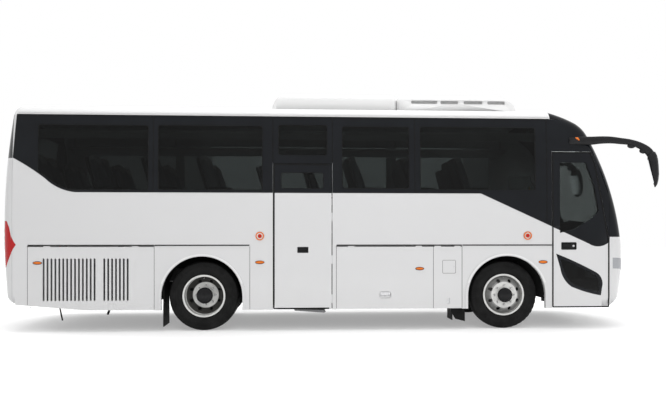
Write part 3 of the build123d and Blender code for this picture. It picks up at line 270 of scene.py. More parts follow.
def plate(outline, height, place, bevel=0.002, sink=0.002):
    """A raised plate with a softened edge."""
    return shell([(outline, -sink), (outline, height - bevel), (inset(outline, bevel), height)], place)


def tray(outline, depth, place, rim=0.006, proud=0.0016):
    """A moulded recess cup with its rim on the panel."""
    return shell([(outline, -depth), (outline, proud), (inset(outline, rim), proud),
                  (inset(outline, rim + 0.003), -depth + 0.003)], place)


def dome(outline, height, place, rings=4, sink=0.002):
    """A domed lens over an outline."""
    centre = sum((Vector(p) for p in outline), Vector((0, 0))) / len(outline)
    rows = [(outline, -sink)]
    for ring in range(rings + 1):
        angle = ring / rings * math.pi / 2 * 0.96
        rows.append(([centre + (Vector(p) - centre) * math.cos(angle) for p in outline],
                     height * math.sin(angle)))
    return shell(rows, place)


def lathe(profile, centre, side, segments=96, wobble=None):
    """A ring turned about a wheel's axis; centre is (x, out, z), profile holds (outwards, radius)."""
    rows = []
    for s, angle in enumerate(turns(segments)):
        section = [wobble(s, *point) for point in profile] if wobble else profile
        rows.append([Vector((centre[0] + radius * math.cos(angle), side * (centre[1] + out),
                             centre[2] + radius * math.sin(angle))) for out, radius in section])
    return skin(rows, True)


def tube(path, radius, around=12, closed=False):
    """A tube along a path; radius is one number, or a list with each point's half width and half height."""
    path = [Vector(p) for p in path]
    rows = []
    for i, point in enumerate(path):
        run = run_at(path, i, closed)
        across = run.cross(Vector((0, 0, 1) if abs(run.z) < 0.95 else (1, 0, 0))).normalized()
        top = across.cross(run)
        wide, high = radius[i] if isinstance(radius, list) else (radius, radius)
        rows.append([point + across * wide * math.cos(a) + top * high * math.sin(a) for a in turns(around)])
    return skin(rows, closed)


def smooth_path(points, steps=8):
    """A smooth line through points."""
    points = [Vector(p) for p in points]
    ends = [points[0] * 2 - points[1]] + points + [points[-1] * 2 - points[-2]]
    result = []
    for i in range(1, len(ends) - 2):
        a, b, c, d = ends[i - 1:i + 3]
        for k in range(steps):
            t = k / steps
            result.append(0.5 * ((2 * b) + (c - a) * t + (2 * a - 5 * b + 4 * c - d) * t * t
                                 + (3 * b - a - 3 * c + d) * t ** 3))
    result.append(points[-1])
    return result


def taken(work):
    """The points and faces of a bmesh, which is then freed."""
    work.verts.index_update()
    shape = [v.co.copy() for v in work.verts], [[v.index for v in f.verts] for f in work.faces]
    work.free()
    return shape


def brick(one, other, soften=0.003):
    """A box with bevelled edges between two corners."""
    low = [min(pair) for pair in zip(one, other)]
    high = [max(pair) for pair in zip(one, other)]
    work = bmesh.new()
    bmesh.ops.create_cube(work, size=1)
    for v in work.verts:
        v.co = Vector([low[i] + (v.co[i] + 0.5) * (high[i] - low[i]) for i in range(3)])
    bmesh.ops.bevel(work, geom=work.edges[:], offset=soften, segments=2, affect="EDGES", profile=0.6)
    return taken(work)


def prism(outline, y_one, y_other):
    """A side view outline (x, z) extruded across the coach."""
    return skin([[Vector((x, y, z)) for x, z in outline] for y in (y_one, y_other)])


def lengthwise(outline, x_one, x_other):
    """A front view outline (y, z) extruded along the coach."""
    return skin([[Vector((x, y, z)) for y, z in outline] for x in (x_one, x_other)])


def copied(node, name):
    """A separate copy of a CAD node's mesh, to be cut and finished."""
    mesh = nodes[node].data.copy()
    mesh.name = name
    return linked(bpy.data.objects.new(name, cleaned(mesh, outwards=False)))


def carved(obj, form, operation):
    """Cuts a copied mesh by another form."""
    cutter = linked(bpy.data.objects.new("cutter", cleaned(mesh_of("cutter", *form))))
    cut = obj.modifiers.new("cut", "BOOLEAN")
    cut.object = cutter
    cut.operation = operation
    cut.solver = "EXACT"
    bpy.context.view_layer.update()
    shaped = bpy.data.meshes.new_from_object(obj.evaluated_get(bpy.context.evaluated_depsgraph_get()))
    obj.modifiers.clear()
    obj.data = shaped
    bpy.data.objects.remove(cutter)
    return obj


# Materials

class Graph:
    """The nodes of a material or of the world, with short ways to add them and to feed their sockets."""

    def __init__(self, owner):
        owner.use_nodes = True
        self.nodes = owner.node_tree.nodes
        self.links = owner.node_tree.links
        self.shader = self.nodes.get("Principled BSDF")
        self.output = self.nodes.get("Material Output") or self.nodes.get("World Output")

    def fill(self, node, sockets):
        """Joins sockets to outputs, and sets numbers and colours on the others."""
        for key, value in sockets.items():
            socket = node.inputs[key]
            if isinstance(value, bpy.types.NodeSocket):
                self.links.new(value, socket)
            else:
                socket.default_value = (*value, 1) if socket.type == "RGBA" else value
        return node

    def add(self, kind, sockets):
        return self.fill(self.nodes.new(kind), sockets)

    def here(self):
        """The place in the piece's own space."""
        return self.nodes.new("ShaderNodeTexCoord").outputs["Object"]

    def noise(self, scale, detail=3.0):
        pattern = self.add("ShaderNodeTexNoise", {"Vector": self.here(), "Scale": scale, "Detail": detail})
        return pattern.outputs["Fac"]

    def ranged(self, source, low, high, from_low=0.3, from_high=0.7):
        return self.add("ShaderNodeMapRange", {"Value": source, "From Min": from_low, "From Max": from_high,
                                               "To Min": low, "To Max": high}).outputs["Result"]

    def mixed(self, amount, first, second):
        """A colour mix whose ends are colours or sockets."""
        blend = self.nodes.new("ShaderNodeMix")
        blend.data_type = "RGBA"
        return self.fill(blend, {"Factor": amount, 6: first, 7: second}).outputs[2]

    def worked_out(self, operation, first, second):
        result = self.add("ShaderNodeMath", {0: first, 1: second})
        result.operation = operation
        return result.outputs[0]

    def distance(self, centre, weights):
        """How far a point lies from centre, with each axis weighed."""
        moved = self.add("ShaderNodeMapping", {"Vector": self.here(), "Location": [-c for c in centre],
                                               "Scale": weights})
        away = self.add("ShaderNodeVectorMath", {0: moved.outputs["Vector"]})
        away.operation = "LENGTH"
        return away.outputs["Value"]

    def rays(self, *kinds):
        """1 for rays of any of these kinds."""
        path = self.nodes.new("ShaderNodeLightPath")
        value = path.outputs[kinds[0]]
        for kind in kinds[1:]:
            value = self.worked_out("MAXIMUM", value, path.outputs[kind])
        return value

    def seen_by_eye(self):
        """1 for rays from the camera, also those by way of a reflection or through glass."""
        return self.rays("Is Camera Ray", "Is Glossy Ray", "Is Transmission Ray")

    def either(self, amount, first, second):
        """The surface is the first shader where amount is 0 and the second where it is 1."""
        blend = self.add("ShaderNodeMixShader", {"Fac": amount, 1: first.outputs[0], 2: second.outputs[0]})
        self.fill(self.output, {"Surface": blend.outputs[0]})

    def bump(self, height, strength):
        bump = self.add("ShaderNodeBump", {"Height": height, "Strength": strength, "Distance": 0.001})
        self.fill(self.shader, {"Normal": bump.outputs["Normal"]})


def surface(name, colour, rough=0.5, metal=0.0, mottle=0.06, mottle_scale=4.0, grain=0.0, grain_scale=300.0,
            coat=0.0, dust=0.0, rough_swing=0.06, specular=0.5, sheen=0.0):
    """A finished surface: mottled colour, uneven roughness, a fine grain in its bump, dust low down."""
    material = bpy.data.materials.new(name)
    g = Graph(material)
    tone = g.mixed(g.ranged(g.noise(mottle_scale, 4.0), 0.0, 1.0), [c * (1 - mottle) for c in colour],
                   [min(c * (1 + mottle), 1.0) for c in colour])
    if dust:
        height = g.add("ShaderNodeSeparateXYZ", {"Vector": g.here()}).outputs["Z"]
        low_down = g.ranged(height, dust, 0.0, 0.25, 0.95)
        specks = g.ranged(g.noise(9.0, 6.0), 0.3, 1.0, 0.35, 0.65)
        tone = g.mixed(g.worked_out("MULTIPLY", low_down, specks), tone, (0.42, 0.38, 0.33))
    uneven = g.ranged(g.noise(mottle_scale * 5), max(rough - rough_swing, 0.02),
                      min(rough + rough_swing, 1.0))
    g.fill(g.shader, {"Base Color": tone, "Roughness": uneven, "Metallic": metal,
                      "Specular IOR Level": specular, "Coat Weight": coat, "Coat Roughness": 0.04,
                      "Sheen Weight": sheen})
    if grain:
        g.bump(g.noise(grain_scale, 5.0), grain)
    return material


def glazing(name, tint, rough=0.01):
    """Tinted glass that lets lamps reach what is behind it, faintly smeared."""
    material = bpy.data.materials.new(name)
    g = Graph(material)
    smear = g.noise(5.0, 4.0)
    g.fill(g.shader, {"Transmission Weight": 1.0, "IOR": 1.22,
                      "Roughness": g.ranged(smear, rough, rough + 0.02),
                      "Base Color": g.mixed(g.ranged(smear, 0.0, 1.0), [c * 0.9 for c in tint], tint)})
    g.either(g.rays("Is Shadow Ray"), g.shader, g.add("ShaderNodeBsdfTransparent", {"Color": tint}))
    return material


def toned(material, centre, weights, ring, dark):
    """Turns a finish dark between two distances from centre."""
    g = Graph(material)
    tone = g.shader.inputs["Base Color"].links[0].from_socket
    away = g.distance(centre, weights)
    low, high = ring
    past_low = g.ranged(away, 0.0, 1.0, low - 0.002, low + 0.002)
    short_of_high = g.ranged(away, 1.0, 0.0, high - 0.002, high + 0.002)
    inside = g.worked_out("MULTIPLY", past_low, short_of_high)
    g.fill(g.shader, {"Base Color": g.mixed(inside, tone, dark)})
    return material


def lens(name, colour, glow=0.0, ribs=120.0):
    """A moulded lamp lens with fine ribs under a gloss."""
    material = bpy.data.materials.new(name)
    g = Graph(material)
    wave = g.add("ShaderNodeTexWave", {"Vector": g.here(), "Scale": ribs})
    wave.bands_direction = "Z"
    tone = g.mixed(wave.outputs["Fac"], [c * 0.72 for c in colour], colour)
    g.bump(wave.outputs["Fac"], 0.25)
    g.fill(g.shader, {"Base Color": tone, "Roughness": g.ranged(g.noise(30.0), 0.12, 0.24),
                      "Specular IOR Level": 0.25, "Coat Weight": 0.15, "Coat Roughness": 0.03})
    if glow:
        g.fill(g.shader, {"Emission Color": tone, "Emission Strength": glow})
    return material


coach_white = (0.60, 0.60, 0.605)
paint = surface("coach_paint", coach_white, 0.32, mottle=0.006, mottle_scale=0.7, grain=0.02,
                grain_scale=500.0, coat=0.8, dust=0.04, rough_swing=0.015)
tail_paint = toned(surface("tail_paint", coach_white, 0.32, mottle=0.006, mottle_scale=0.7, coat=0.5,
                           rough_swing=0.015), (0, 0, 0), (0, 0, 1), (2.405, 3.012), (0.010, 0.011, 0.013))
# A lighter copy of the coach white: a painted highlight on the roof, its hatches and units, the gutters and
# the arch lips.
painted_highlight_white = surface("painted_highlight_white", (0.70, 0.70, 0.70), 0.42, mottle=0.006, mottle_scale=0.7, grain=0.02,
                     coat=0.4)
frit = surface("black_glass_border", (0.006, 0.007, 0.009), 0.08, mottle=0.15, mottle_scale=3.0,
               rough_swing=0.02, specular=0.16)
black_gloss = surface("black_gloss", (0.006, 0.006, 0.007), 0.16, mottle=0.2, grain=0.03, specular=0.18)
black_satin = surface("black_plastic", (0.010, 0.010, 0.011), 0.48, mottle=0.25, mottle_scale=12,
                      grain=0.35, grain_scale=900.0, specular=0.2)
rubber = surface("rubber", (0.007, 0.007, 0.007), 0.62, mottle=0.3, mottle_scale=15, grain=0.3,
                 grain_scale=700.0, specular=0.12)
tyre_rubber = surface("tyre_rubber", (0.009, 0.009, 0.009), 0.72, mottle=0.35, mottle_scale=10, grain=0.5,
                      grain_scale=500.0, specular=0.14)
underseal = surface("underbody_coating", (0.012, 0.012, 0.012), 0.75, mottle=0.4, mottle_scale=8, grain=0.7,
                    grain_scale=260.0, specular=0.15)
chassis_black = surface("chassis_paint", (0.012, 0.012, 0.013), 0.42, mottle=0.3, mottle_scale=7,
                        grain=0.25, grain_scale=220.0, specular=0.25)
steel = surface("zinc_steel", (0.55, 0.55, 0.56), 0.30, metal=1.0, mottle=0.12, mottle_scale=40, grain=0.1)
mirror_face = surface("mirror_face", (0.85, 0.87, 0.88), 0.03, metal=1.0, mottle=0.01, rough_swing=0.01)
cast_iron = surface("cast_iron", (0.10, 0.10, 0.105), 0.6, metal=0.5, mottle=0.3, mottle_scale=20,
                    grain=0.8, grain_scale=180.0)
grille_grey = surface("grille_grey", (0.50, 0.50, 0.50), 0.55, mottle=0.1, mottle_scale=20, grain=0.2)
lining = surface("lining_grey", (0.42, 0.42, 0.41), 0.6, mottle=0.05, mottle_scale=6, grain=0.3,
                 grain_scale=600.0)
floor_vinyl = surface("floor_vinyl", (0.16, 0.16, 0.165), 0.5, mottle=0.25, mottle_scale=90, grain=0.3,
                      grain_scale=500.0)
seat_cloth = surface("seat_cloth", (0.18, 0.19, 0.21), 0.9, mottle=0.3, mottle_scale=260, grain=0.9,
                     grain_scale=900.0, sheen=0.4)
seat_pale = surface("head_cloth", (0.55, 0.55, 0.53), 0.85, mottle=0.1, mottle_scale=200, grain=0.8,
                    grain_scale=900.0, sheen=0.3)
yellow_rail = surface("rail_yellow", (0.75, 0.50, 0.04), 0.35, mottle=0.06, grain=0.1)
side_tint = glazing("side_glass_tint", (0.085, 0.094, 0.093))
screen_tint = glazing("windscreen_tint", (0.62, 0.66, 0.65))
red_lens = lens("red_lens", (0.46, 0.004, 0.006), glow=0.03)
amber_lens = lens("amber_lens", (0.74, 0.17, 0.015), glow=0.03)
clear_lens = lens("clear_lens", (0.40, 0.41, 0.43), ribs=60.0)

slot_of = {
    paint: "body_paint", painted_highlight_white: "body_paint", frit: "glass", side_tint: "glass", screen_tint: "glass",
    mirror_face: "glass", black_gloss: "black_plastic", black_satin: "black_plastic", rubber: "rubber",
    tyre_rubber: "tyre", chassis_black: "black_metal", steel: "cast_metal", grille_grey: "grey_plastic",
    yellow_rail: "grey_plastic", seat_cloth: "seat_fabric", seat_pale: "seat_fabric", red_lens: "red_lens",
    amber_lens: "amber_lens", clear_lens: "clear_lens",
}


def dressed(name, material, smooth=30):
    """A CAD node keeps its form: its doubled points are welded for shading and it gets its finish."""
    node = nodes[name]
    node.data.materials.clear()
    node.data.materials.append(material)
    node.data.shade_smooth()
    weld = node.modifiers.new("weld", "WELD")
    weld.merge_threshold = 1e-6
    crease = node.modifiers.new("crease", "EDGE_SPLIT")
    crease.split_angle = math.radians(smooth)
    node.modifiers.new("even", "WEIGHTED_NORMAL").keep_sharp = True


# Pieces that keep their CAD form
node_finish = {
    tail_paint: ["rear_panel"],
    paint: ["side_wall_right", "side_wall_left", "front_panel", "engine_lid", "middle_door",
            "front_door"] + [n for n in nodes if "_flap_" in n],
    # The roof and its hatches take the lighter white, a painted highlight on top.
    painted_highlight_white: ["roof", "roof_hatches"],
    black_gloss: ["front_cap"],
    underseal: ["wheel_housings", "luggage_bay", "fuel_tank"],
    chassis_black: ["chassis", "front_axle", "rear_axle", "knuckle_right", "knuckle_left",
                    "front_door_arms"],
    cast_iron: ["engine"],
    rubber: ["mudflaps"],
    floor_vinyl: ["floor_deck", "entry_steps"],
    lining: ["luggage_racks"],
    black_satin: ["dashboard", "wipers"],
    red_lens: ["tail_lamps"],
    clear_lens: ["headlamps"],
    amber_lens: ["marker_lamps"],
}
# The rims are painted darker in the ring of their hand holes: painted shade, deeper on the rear wheels,
# whose discs sit far inside the twin tyres.
for end, dark in (("front", (0.24, 0.24, 0.235)), ("rear", (0.055, 0.053, 0.05))):
    rim = surface(f"rim_{end}", (0.60, 0.60, 0.585), 0.34, metal=0.3, mottle=0.10, mottle_scale=14,
                  grain=0.15, specular=0.4)
    toned(rim, (axle_x[end], 0, wheel_radius), (1, 0, 1), (0.186, 0.266), dark)
    node_finish[rim] = [f"wheel_{end}_right", f"wheel_{end}_left"]
for material, names in node_finish.items():
    for node_name in names:
        dressed(node_name, material)


# Glass: the bonded band is opaque at its border and see-through at its panes
pane_corner = 0.030
rear_pane = [(-4.125, 2.230), (-4.024, 2.153), (-3.925, 2.082), (-3.830, 2.020), (-3.700, 1.975),
             (-2.627, 1.970), (-2.627, 2.870), (-4.125, 2.870)]
side_panes = [(-2.490, -1.048, 1.975, 2.876, 0), (-0.823, -0.143, 2.471, 2.894, right),
              (-0.896, -0.072, 1.975, 2.880, left), (0.073, 1.022, 2.006, 2.878, 0),
              (1.182, 2.843, 1.990, 2.883, 0)]
front_pane = [(3.200, 1.375), (3.420, 1.430), (3.690, 1.600), (3.768, 1.700), (3.700, 2.080),
              (3.584, 2.389), (3.200, 2.389)]
lower_pane = [(3.200, 1.010), (3.247, 0.870), (3.300, 0.735), (3.390, 0.640), (3.590, 0.567),
              (3.765, 0.527), (3.785, 0.640), (3.765, 0.718), (3.705, 0.780), (3.455, 0.905)]
middle_pane = box_outline(-0.788, -0.192, 2.000, 2.222)
screen_pane = [(-1.05, 1.47), (0, 1.52), (1.05, 1.47), (1.02, 2.60), (0, 2.67), (-1.02, 2.60)]


def pane_outlines(side):
    """Where the clear panes of a side's fixed glass end, apart from the driver's."""
    return [rounded(rear_pane, pane_corner)] + [box_outline(*edges) for *edges, only in side_panes
                                                if only in (0, side)]


def glazed(node, panes, body, tint=side_tint):
    """Parts a CAD glass node into its black border and its clear panes."""
    form = joined(panes)
    border = keep(carved(copied(node, node + "_border"), form, "DIFFERENCE"), frit, body)
    keep(carved(copied(node, node + "_panes"), form, "INTERSECT"), tint, body)
    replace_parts(border, node)


def windows():
    cab_pane = rounded(front_pane, pane_corner)
    for side, side_name in sides:
        outlines = pane_outlines(side) + ([cab_pane] if side == left else [])
        glazed(f"side_glass_{side_name}", [prism(o, side * 1.0, side * 1.4) for o in outlines], "body")
    glazed("middle_door_glass", [prism(middle_pane, -1.4, -1.0)], "side_door")
    glazed("front_door_glass", [prism(o, -1.4, -1.0) for o in (cab_pane, rounded(lower_pane, 0.02))],
           "entry_door")
    glazed("windscreen", [lengthwise(rounded(screen_pane, 0.08), 3.0, 5.0)], "body", screen_tint)
    glazed("rear_glass", [lengthwise(box_outline(-0.88, 0.88, 2.03, 2.86, 0.06), -5.0, -4.2)], "body")


windows()


# Rubber lines and seals
front_door_edge = [(3.098, 0.316), (3.914, 0.316), (3.914, 1.262), (3.712, 2.358), (3.646, 2.530),
                   (3.098, 2.530)]
middle_door_edge = [(-0.112, 0.316), (-0.886, 0.316), (-0.886, 2.337), (-0.112, 2.337)]
arch_x = (2.425, -1.886)
arch_radius = 0.583
skirt_z = 0.312
tail_skirt_z = 0.385
flap_top_z = 1.186


def door_seals():
    """The middle door's seal stays open along its hinge."""
    flat = on_flat(right)
    piece("middle_pane_line", rubber, "side_door", bead(middle_pane, 0.010, 0.0010, flat, step=0.06))
    piece("door_head_filler", rubber, "body",
          bead([(-0.899, 2.3485), (-0.070, 2.3485)], 0.019, -0.003, flat, False, 0.2, 0.012, 0.02))
    piece("panel_joint_line", rubber, "body",
          bead([(-1.2225, skirt_z), (-1.2225, flap_top_z)], 0.005, 0.0003, flat, False, 0.2, 0.001))
    piece("front_door_seal", rubber, "entry_door",
          bead(rounded(front_door_edge, 0.012), 0.020, 0.0018, flat, step=0.06))
    piece("middle_door_seal", rubber, "side_door", bead(middle_door_edge, 0.022, 0.0018, flat, False, 0.06))


def side_seals(side, side_name):
    """Lines above and between the flaps, round the panes and arches, and along the roof's edge."""
    place = on_flat(side)
    runs = [(-4.258, -2.545), (-2.540, -1.228), (-0.008, 1.776), (1.784, 3.081)]
    posts = [-4.261, -2.542, -0.011, 1.368, 1.779]
    if side == left:
        runs.append((-1.220, -0.014))
        posts.append(-1.223)
    hinge_line = luggage_line_z + 0.0160
    piece(f"flap_seal_{side_name}", rubber, "body", *(
        bead([(a, hinge_line), (b, hinge_line)], 0.017, 0.0040, place, False, 0.2) for a, b in runs))
    # The gutter takes the lighter white, a painted highlight along the roof's edge.
    for name, material, ends, above, width, height in (
            ("glass_top_seal", rubber, (-4.415, 3.055), -0.002, 0.016, 0.0022),
            ("gutter", painted_highlight_white, (-4.40, 3.05), 0.036, 0.022, 0.007)):
        line = [(x, band_top_z + above) for x in ends]
        piece(f"{name}_{side_name}", material, "body", bead(line, width, height, place, False, 0.15))
    piece(f"gap_fillers_{side_name}", rubber, "body", *(
        bead([(x, tail_skirt_z if x < -4 else skirt_z), (x, flap_top_z)], 0.0056, -0.0008, place, False,
             0.2, 0.030, 0.02) for x in posts))
    # The arch lips take the lighter white, a painted highlight over the arches.
    arches = []
    for centre_x in arch_x:
        arc = [(centre_x + arch_radius * math.cos(a), wheel_radius + arch_radius * math.sin(a))
               for a in [math.pi * (0.10 + 0.80 * i / 60) for i in range(61)]]
        arches.append(bead(arc, 0.030, 0.0116, place, False, sink=-0.006, slope=0.2))
    piece(f"arch_lips_{side_name}", painted_highlight_white, "body", *arches)
    piece(f"pane_lines_{side_name}", rubber, "body", *(
        bead(outline, 0.012, 0.0010, place, step=0.06) for outline in pane_outlines(side)))
    door_low = 2.36 if side == right else band_low_z
    joints = [(-2.558, band_low_z), (1.105, band_low_z), (3.010, 1.50), (-0.902, door_low),
              (-0.066, door_low)]
    piece(f"glass_joints_{side_name}", rubber, "body", *(
        bead([(x, low + 0.004), (x, band_top_z - 0.012)], 0.012, 0.0015, place, False, 0.1)
        for x, low in joints))


door_seals()
for side, side_name in sides:
    side_seals(side, side_name)


# Handles and locks on the doors and flaps

def barrel_lock(centre, place, name, body, radius=0.011):
    x, z = centre
    slit = box_outline(x - 0.002, x + 0.002, z - 0.006, z + 0.006, 0.0015)
    piece(name, steel, body, plate(disc(centre, radius), 0.003, place), plate(slit, 0.0038, place, 0.0004))


def handles():
    flat = on_flat(right)
    cup_deep = 0.021
    piece("front_door_handle_cup", black_satin, "entry_door",
          tray(box_outline(3.219, 3.442, 1.136, 1.242, 0.014), cup_deep, flat))
    piece("front_door_handle", black_gloss, "entry_door",
          plate(box_outline(3.232, 3.365, 1.168, 1.226, 0.012), -0.004, flat, 0.003, 0.017))
    barrel_lock((3.405, 1.190), on_flat(right, -0.016), "front_door_lock", "entry_door", 0.016)
    piece("middle_door_handle_cup", black_satin, "side_door",
          tray(box_outline(-0.559, -0.405, 1.096, 1.178, 0.008), cup_deep, flat))
    piece("middle_door_handle", black_gloss, "side_door",
          plate(box_outline(-0.548, -0.416, 1.128, 1.166, 0.010), -0.003, flat, 0.003, 0.017))
    leaf = "luggage_flap_right_leaf"
    piece("luggage_handle_cup", paint, leaf,
          tray(box_outline(0.5985, 0.7655, 0.4495, 0.5505, 0.038), cup_deep, flat, 0.005))
    piece("luggage_handle", steel, leaf,
          plate(box_outline(0.608, 0.756, 0.492, 0.544, 0.022), -0.004, flat, 0.004, 0.015))
    barrel_lock((0.682, 0.473), on_flat(right, -0.017), "luggage_lock", leaf)
    leaf = "equipment_flap_right_leaf"
    piece("equipment_lock_cup", steel, leaf,
          tray(box_outline(1.560, 1.605, 0.370, 0.455, 0.011), cup_deep, flat, 0.004))
    barrel_lock((1.5825, 0.430), on_flat(right, -0.017), "equipment_lock", leaf, 0.009)
    barrel_lock((1.665, 0.895), flat, "fuel_flap_lock", leaf, 0.009)
    fuel_flap = box_outline(1.500, 1.687, 0.803, 0.988, 0.018)
    piece("fuel_flap_line", rubber, leaf, bead(fuel_flap, 0.005, 0.0003, flat, step=0.05))
    for side, side_name in sides:
        for number, x in enumerate((-4.215, -2.590)):
            barrel_lock((x, 0.350), on_flat(side), f"engine_flap_lock_{side_name}_{number}",
                        f"engine_flap_{side_name}_leaf")
    for flap, x in (("luggage_flap_left", 0.678), ("rear_luggage_flap_left", -0.617),
                    ("equipment_flap_left", 1.573)):
        barrel_lock((x, 0.380), on_flat(left), f"{flap}_lock", f"{flap}_leaf", 0.014)


handles()


def side_lamps():
    """Amber markers on the flaps, like those of the body, and the caps of the two door valves."""
    for side, side_name in sides:
        place = on_flat(side)
        for flap, centre in (("engine", (-4.127, 0.961)), ("luggage", (1.172, 0.870))):
            leaf = f"{flap}_flap_{side_name}_leaf"
            seat = plate(oval(centre, 0.064, 0.024), 0.004, place)
            piece(f"{flap}_marker_base_{side_name}", rubber, leaf, seat)
            cover = dome(oval(centre, 0.058, 0.018), 0.014, place)
            piece(f"{flap}_marker_{side_name}", amber_lens, leaf, cover)
        for number, centre in enumerate(((-1.084, 0.964 if side == right else 1.250), (2.952, 0.960))):
            piece(f"marker_rim_{side_name}_{number}", rubber, "body",
                  bead(oval(centre, 0.063, 0.022), 0.006, 0.004, place))
    place = on_flat(right)
    for number, centre in enumerate(((-1.084, 1.331), (2.728, 1.337))):
        # The caps take the red lens finish with its faint glow, painted light on a part that is no lamp.
        piece(f"valve_cap_{number}", red_lens, "body", dome(disc(centre, 0.031), 0.020, place))
        piece(f"valve_seat_{number}", steel, "body", plate(disc(centre, 0.066, 48), 0.002, place))


side_lamps()


def louvre_blades_and_shade_sheets():
    """The blades in the slots of the engine flaps, and black sheets behind the slots of the flaps and of
    the engine lid: painted shade for the dark inside.
    """
    slat_x = [-4.044 + 0.053 * n for n in range(14)] + [-3.223 + 0.053 * n for n in range(7)]
    for side, side_name in sides:
        inner, middle, outer = (side * y for y in (1.180, 1.188, 1.222))
        # Each flap's piece holds a black sheet behind the slots, painted shade, and the blades in front of
        # it.
        piece(f"engine_louvre_{side_name}", black_satin, f"engine_flap_{side_name}_leaf",
              brick((-4.11, inner, 0.40), (-2.84, middle, 1.06)),
              *(brick((x + 0.004, middle, 0.45), (x + 0.009, outer, 1.008), 0.001) for x in slat_x))
    # A black sheet behind the lid's slots, painted shade.
    piece("engine_lid_shade_sheet", black_satin, "engine_lid_leaf",
          brick((-4.606, -0.62, 0.66), (-4.600, 0.62, 0.98)))


louvre_blades_and_shade_sheets()


# Tyres with their grooves, and the wheels' small parts
tread_grooves = (-0.058, -0.020, 0.020, 0.058)
groove_half = 0.005
groove_deep = 0.011
tyre_out = {"front": [1.030], "rear": [1.035, 0.756]}
disc_out = {"front": 1.030 + 0.128, "rear": 1.035 - 0.1395}
hub_out = {"front": 0.062, "rear": 0.180}
cap_radius = {"front": 0.103, "rear": 0.113}
nut_out = {"front": disc_out["front"] - 0.010, "rear": disc_out["rear"] + 0.002}
nut_circle = 0.1375
nut_section = [(0, 0), (0, 0.021), (0.008, 0.020), (0.010, 0.0165), (0.040, 0.013), (0.048, 0.008),
               (0.050, 0)]
shield_out = {"front": 0.950, "rear": 0.815}
shield_section = [(0, 0.110), (0, 0.262), (0.012, 0.268), (0.012, 0.260), (0.003, 0.255), (0.003, 0.110)]


def tyre_section():
    """The section of a tyre as (outwards, radius), closed, from the inner bead round the tread."""
    half = [(0.091, 0.288), (0.093, 0.306), (0.101, 0.318), (0.108, 0.335), (0.1135, 0.360), (0.115, 0.385),
            (0.1145, 0.398), (0.1165, 0.400), (0.1165, 0.404), (0.1140, 0.407), (0.1105, 0.430),
            (0.105, 0.450), (0.1015, 0.462), (0.0985, 0.470), (0.092, 0.4775), (0.084, 0.481)]
    crown = []
    for middle in reversed(tread_grooves):
        for edge in (groove_half, groove_half * 0.6, -groove_half * 0.6, -groove_half):
            deep = groove_deep if abs(edge) < groove_half else 0
            out = middle + edge
            crown.append((out, wheel_radius - 0.006 * (out / 0.084) ** 2 - deep))
    inner = [(-0.073, 0.288), (-0.097, 0.385), (-0.08, 0.458), (0.08, 0.458), (0.097, 0.385),
             (0.073, 0.288)]
    return half + crown + [(-out, radius) for out, radius in reversed(half)] + inner


def tread_blocks(segment, out, radius):
    """Cuts across the tread's shoulders, every fourth segment."""
    cut = 0.008 if abs(out) > 0.066 and radius > 0.474 and segment % 4 == 0 else 0
    return out, radius - cut


def wheel(end, side, side_name):
    body = f"road_wheel_{end}_{side_name}"
    x = axle_x[end]

    def turned(section, out, segments, wobble=None):
        return lathe(section, (x, out, wheel_radius), side, segments, wobble)

    tyre = piece(f"tyre_{end}_{side_name}_tread", tyre_rubber, body, *(
        turned(tyre_section(), out, 160, tread_blocks) for out in tyre_out[end]), smooth=30)
    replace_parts(tyre, f"tyre_{end}_{side_name}")
    wide = cap_radius[end]
    cap = [(-0.006, 0), (0.018, 0.001), (0.016, 0.030), (0.010, wide - 0.030), (0.002, wide - 0.006),
           (-0.006, wide), (-0.030, wide + 0.002), (-0.030, wide - 0.010)]
    piece(f"hub_cap_{end}_{side_name}", black_gloss, body, turned(cap, disc_out[end] + hub_out[end], 48))
    nut_places = disc((x, wheel_radius), nut_circle, 8)
    piece(f"wheel_nuts_{end}_{side_name}", steel, body, *(
        lathe(nut_section, (nut_x, nut_out[end], nut_z), side, 18) for nut_x, nut_z in nut_places))
    piece(f"brake_shield_{end}_{side_name}", chassis_black, body,
          turned(shield_section, shield_out[end], 64))
    valve = [(x, side * (tyre_out[end][0] + out), wheel_radius + 0.255 + up)
             for out, up in ((0.02, -0.005), (0.06, 0), (0.095, -0.012))]
    piece(f"tyre_valve_{end}_{side_name}", steel, body, tube(smooth_path(valve, 4), 0.004, 8))


for end in ("front", "rear"):
    for side, side_name in sides:
        wheel(end, side, side_name)


# Mirrors: a swept arm with its lamp and two small knobs, and the head that hangs from it with its glass
arm_line = [(3.345, 1.208, 2.696), (3.470, 1.222, 2.702), (3.640, 1.238, 2.700), (3.800, 1.252, 2.710),
            (3.935, 1.268, 2.709), (4.060, 1.284, 2.694), (4.210, 1.305, 2.672), (4.345, 1.330, 2.618),
            (4.440, 1.352, 2.545), (4.500, 1.366, 2.450)]
# Half width and half height at the points of arm_line
arm_half = [(0.022, 0.050), (0.030, 0.060), (0.034, 0.060), (0.033, 0.054), (0.032, 0.050), (0.032, 0.046),
            (0.032, 0.042), (0.036, 0.048), (0.042, 0.056), (0.044, 0.054)]
arm_steps = 5
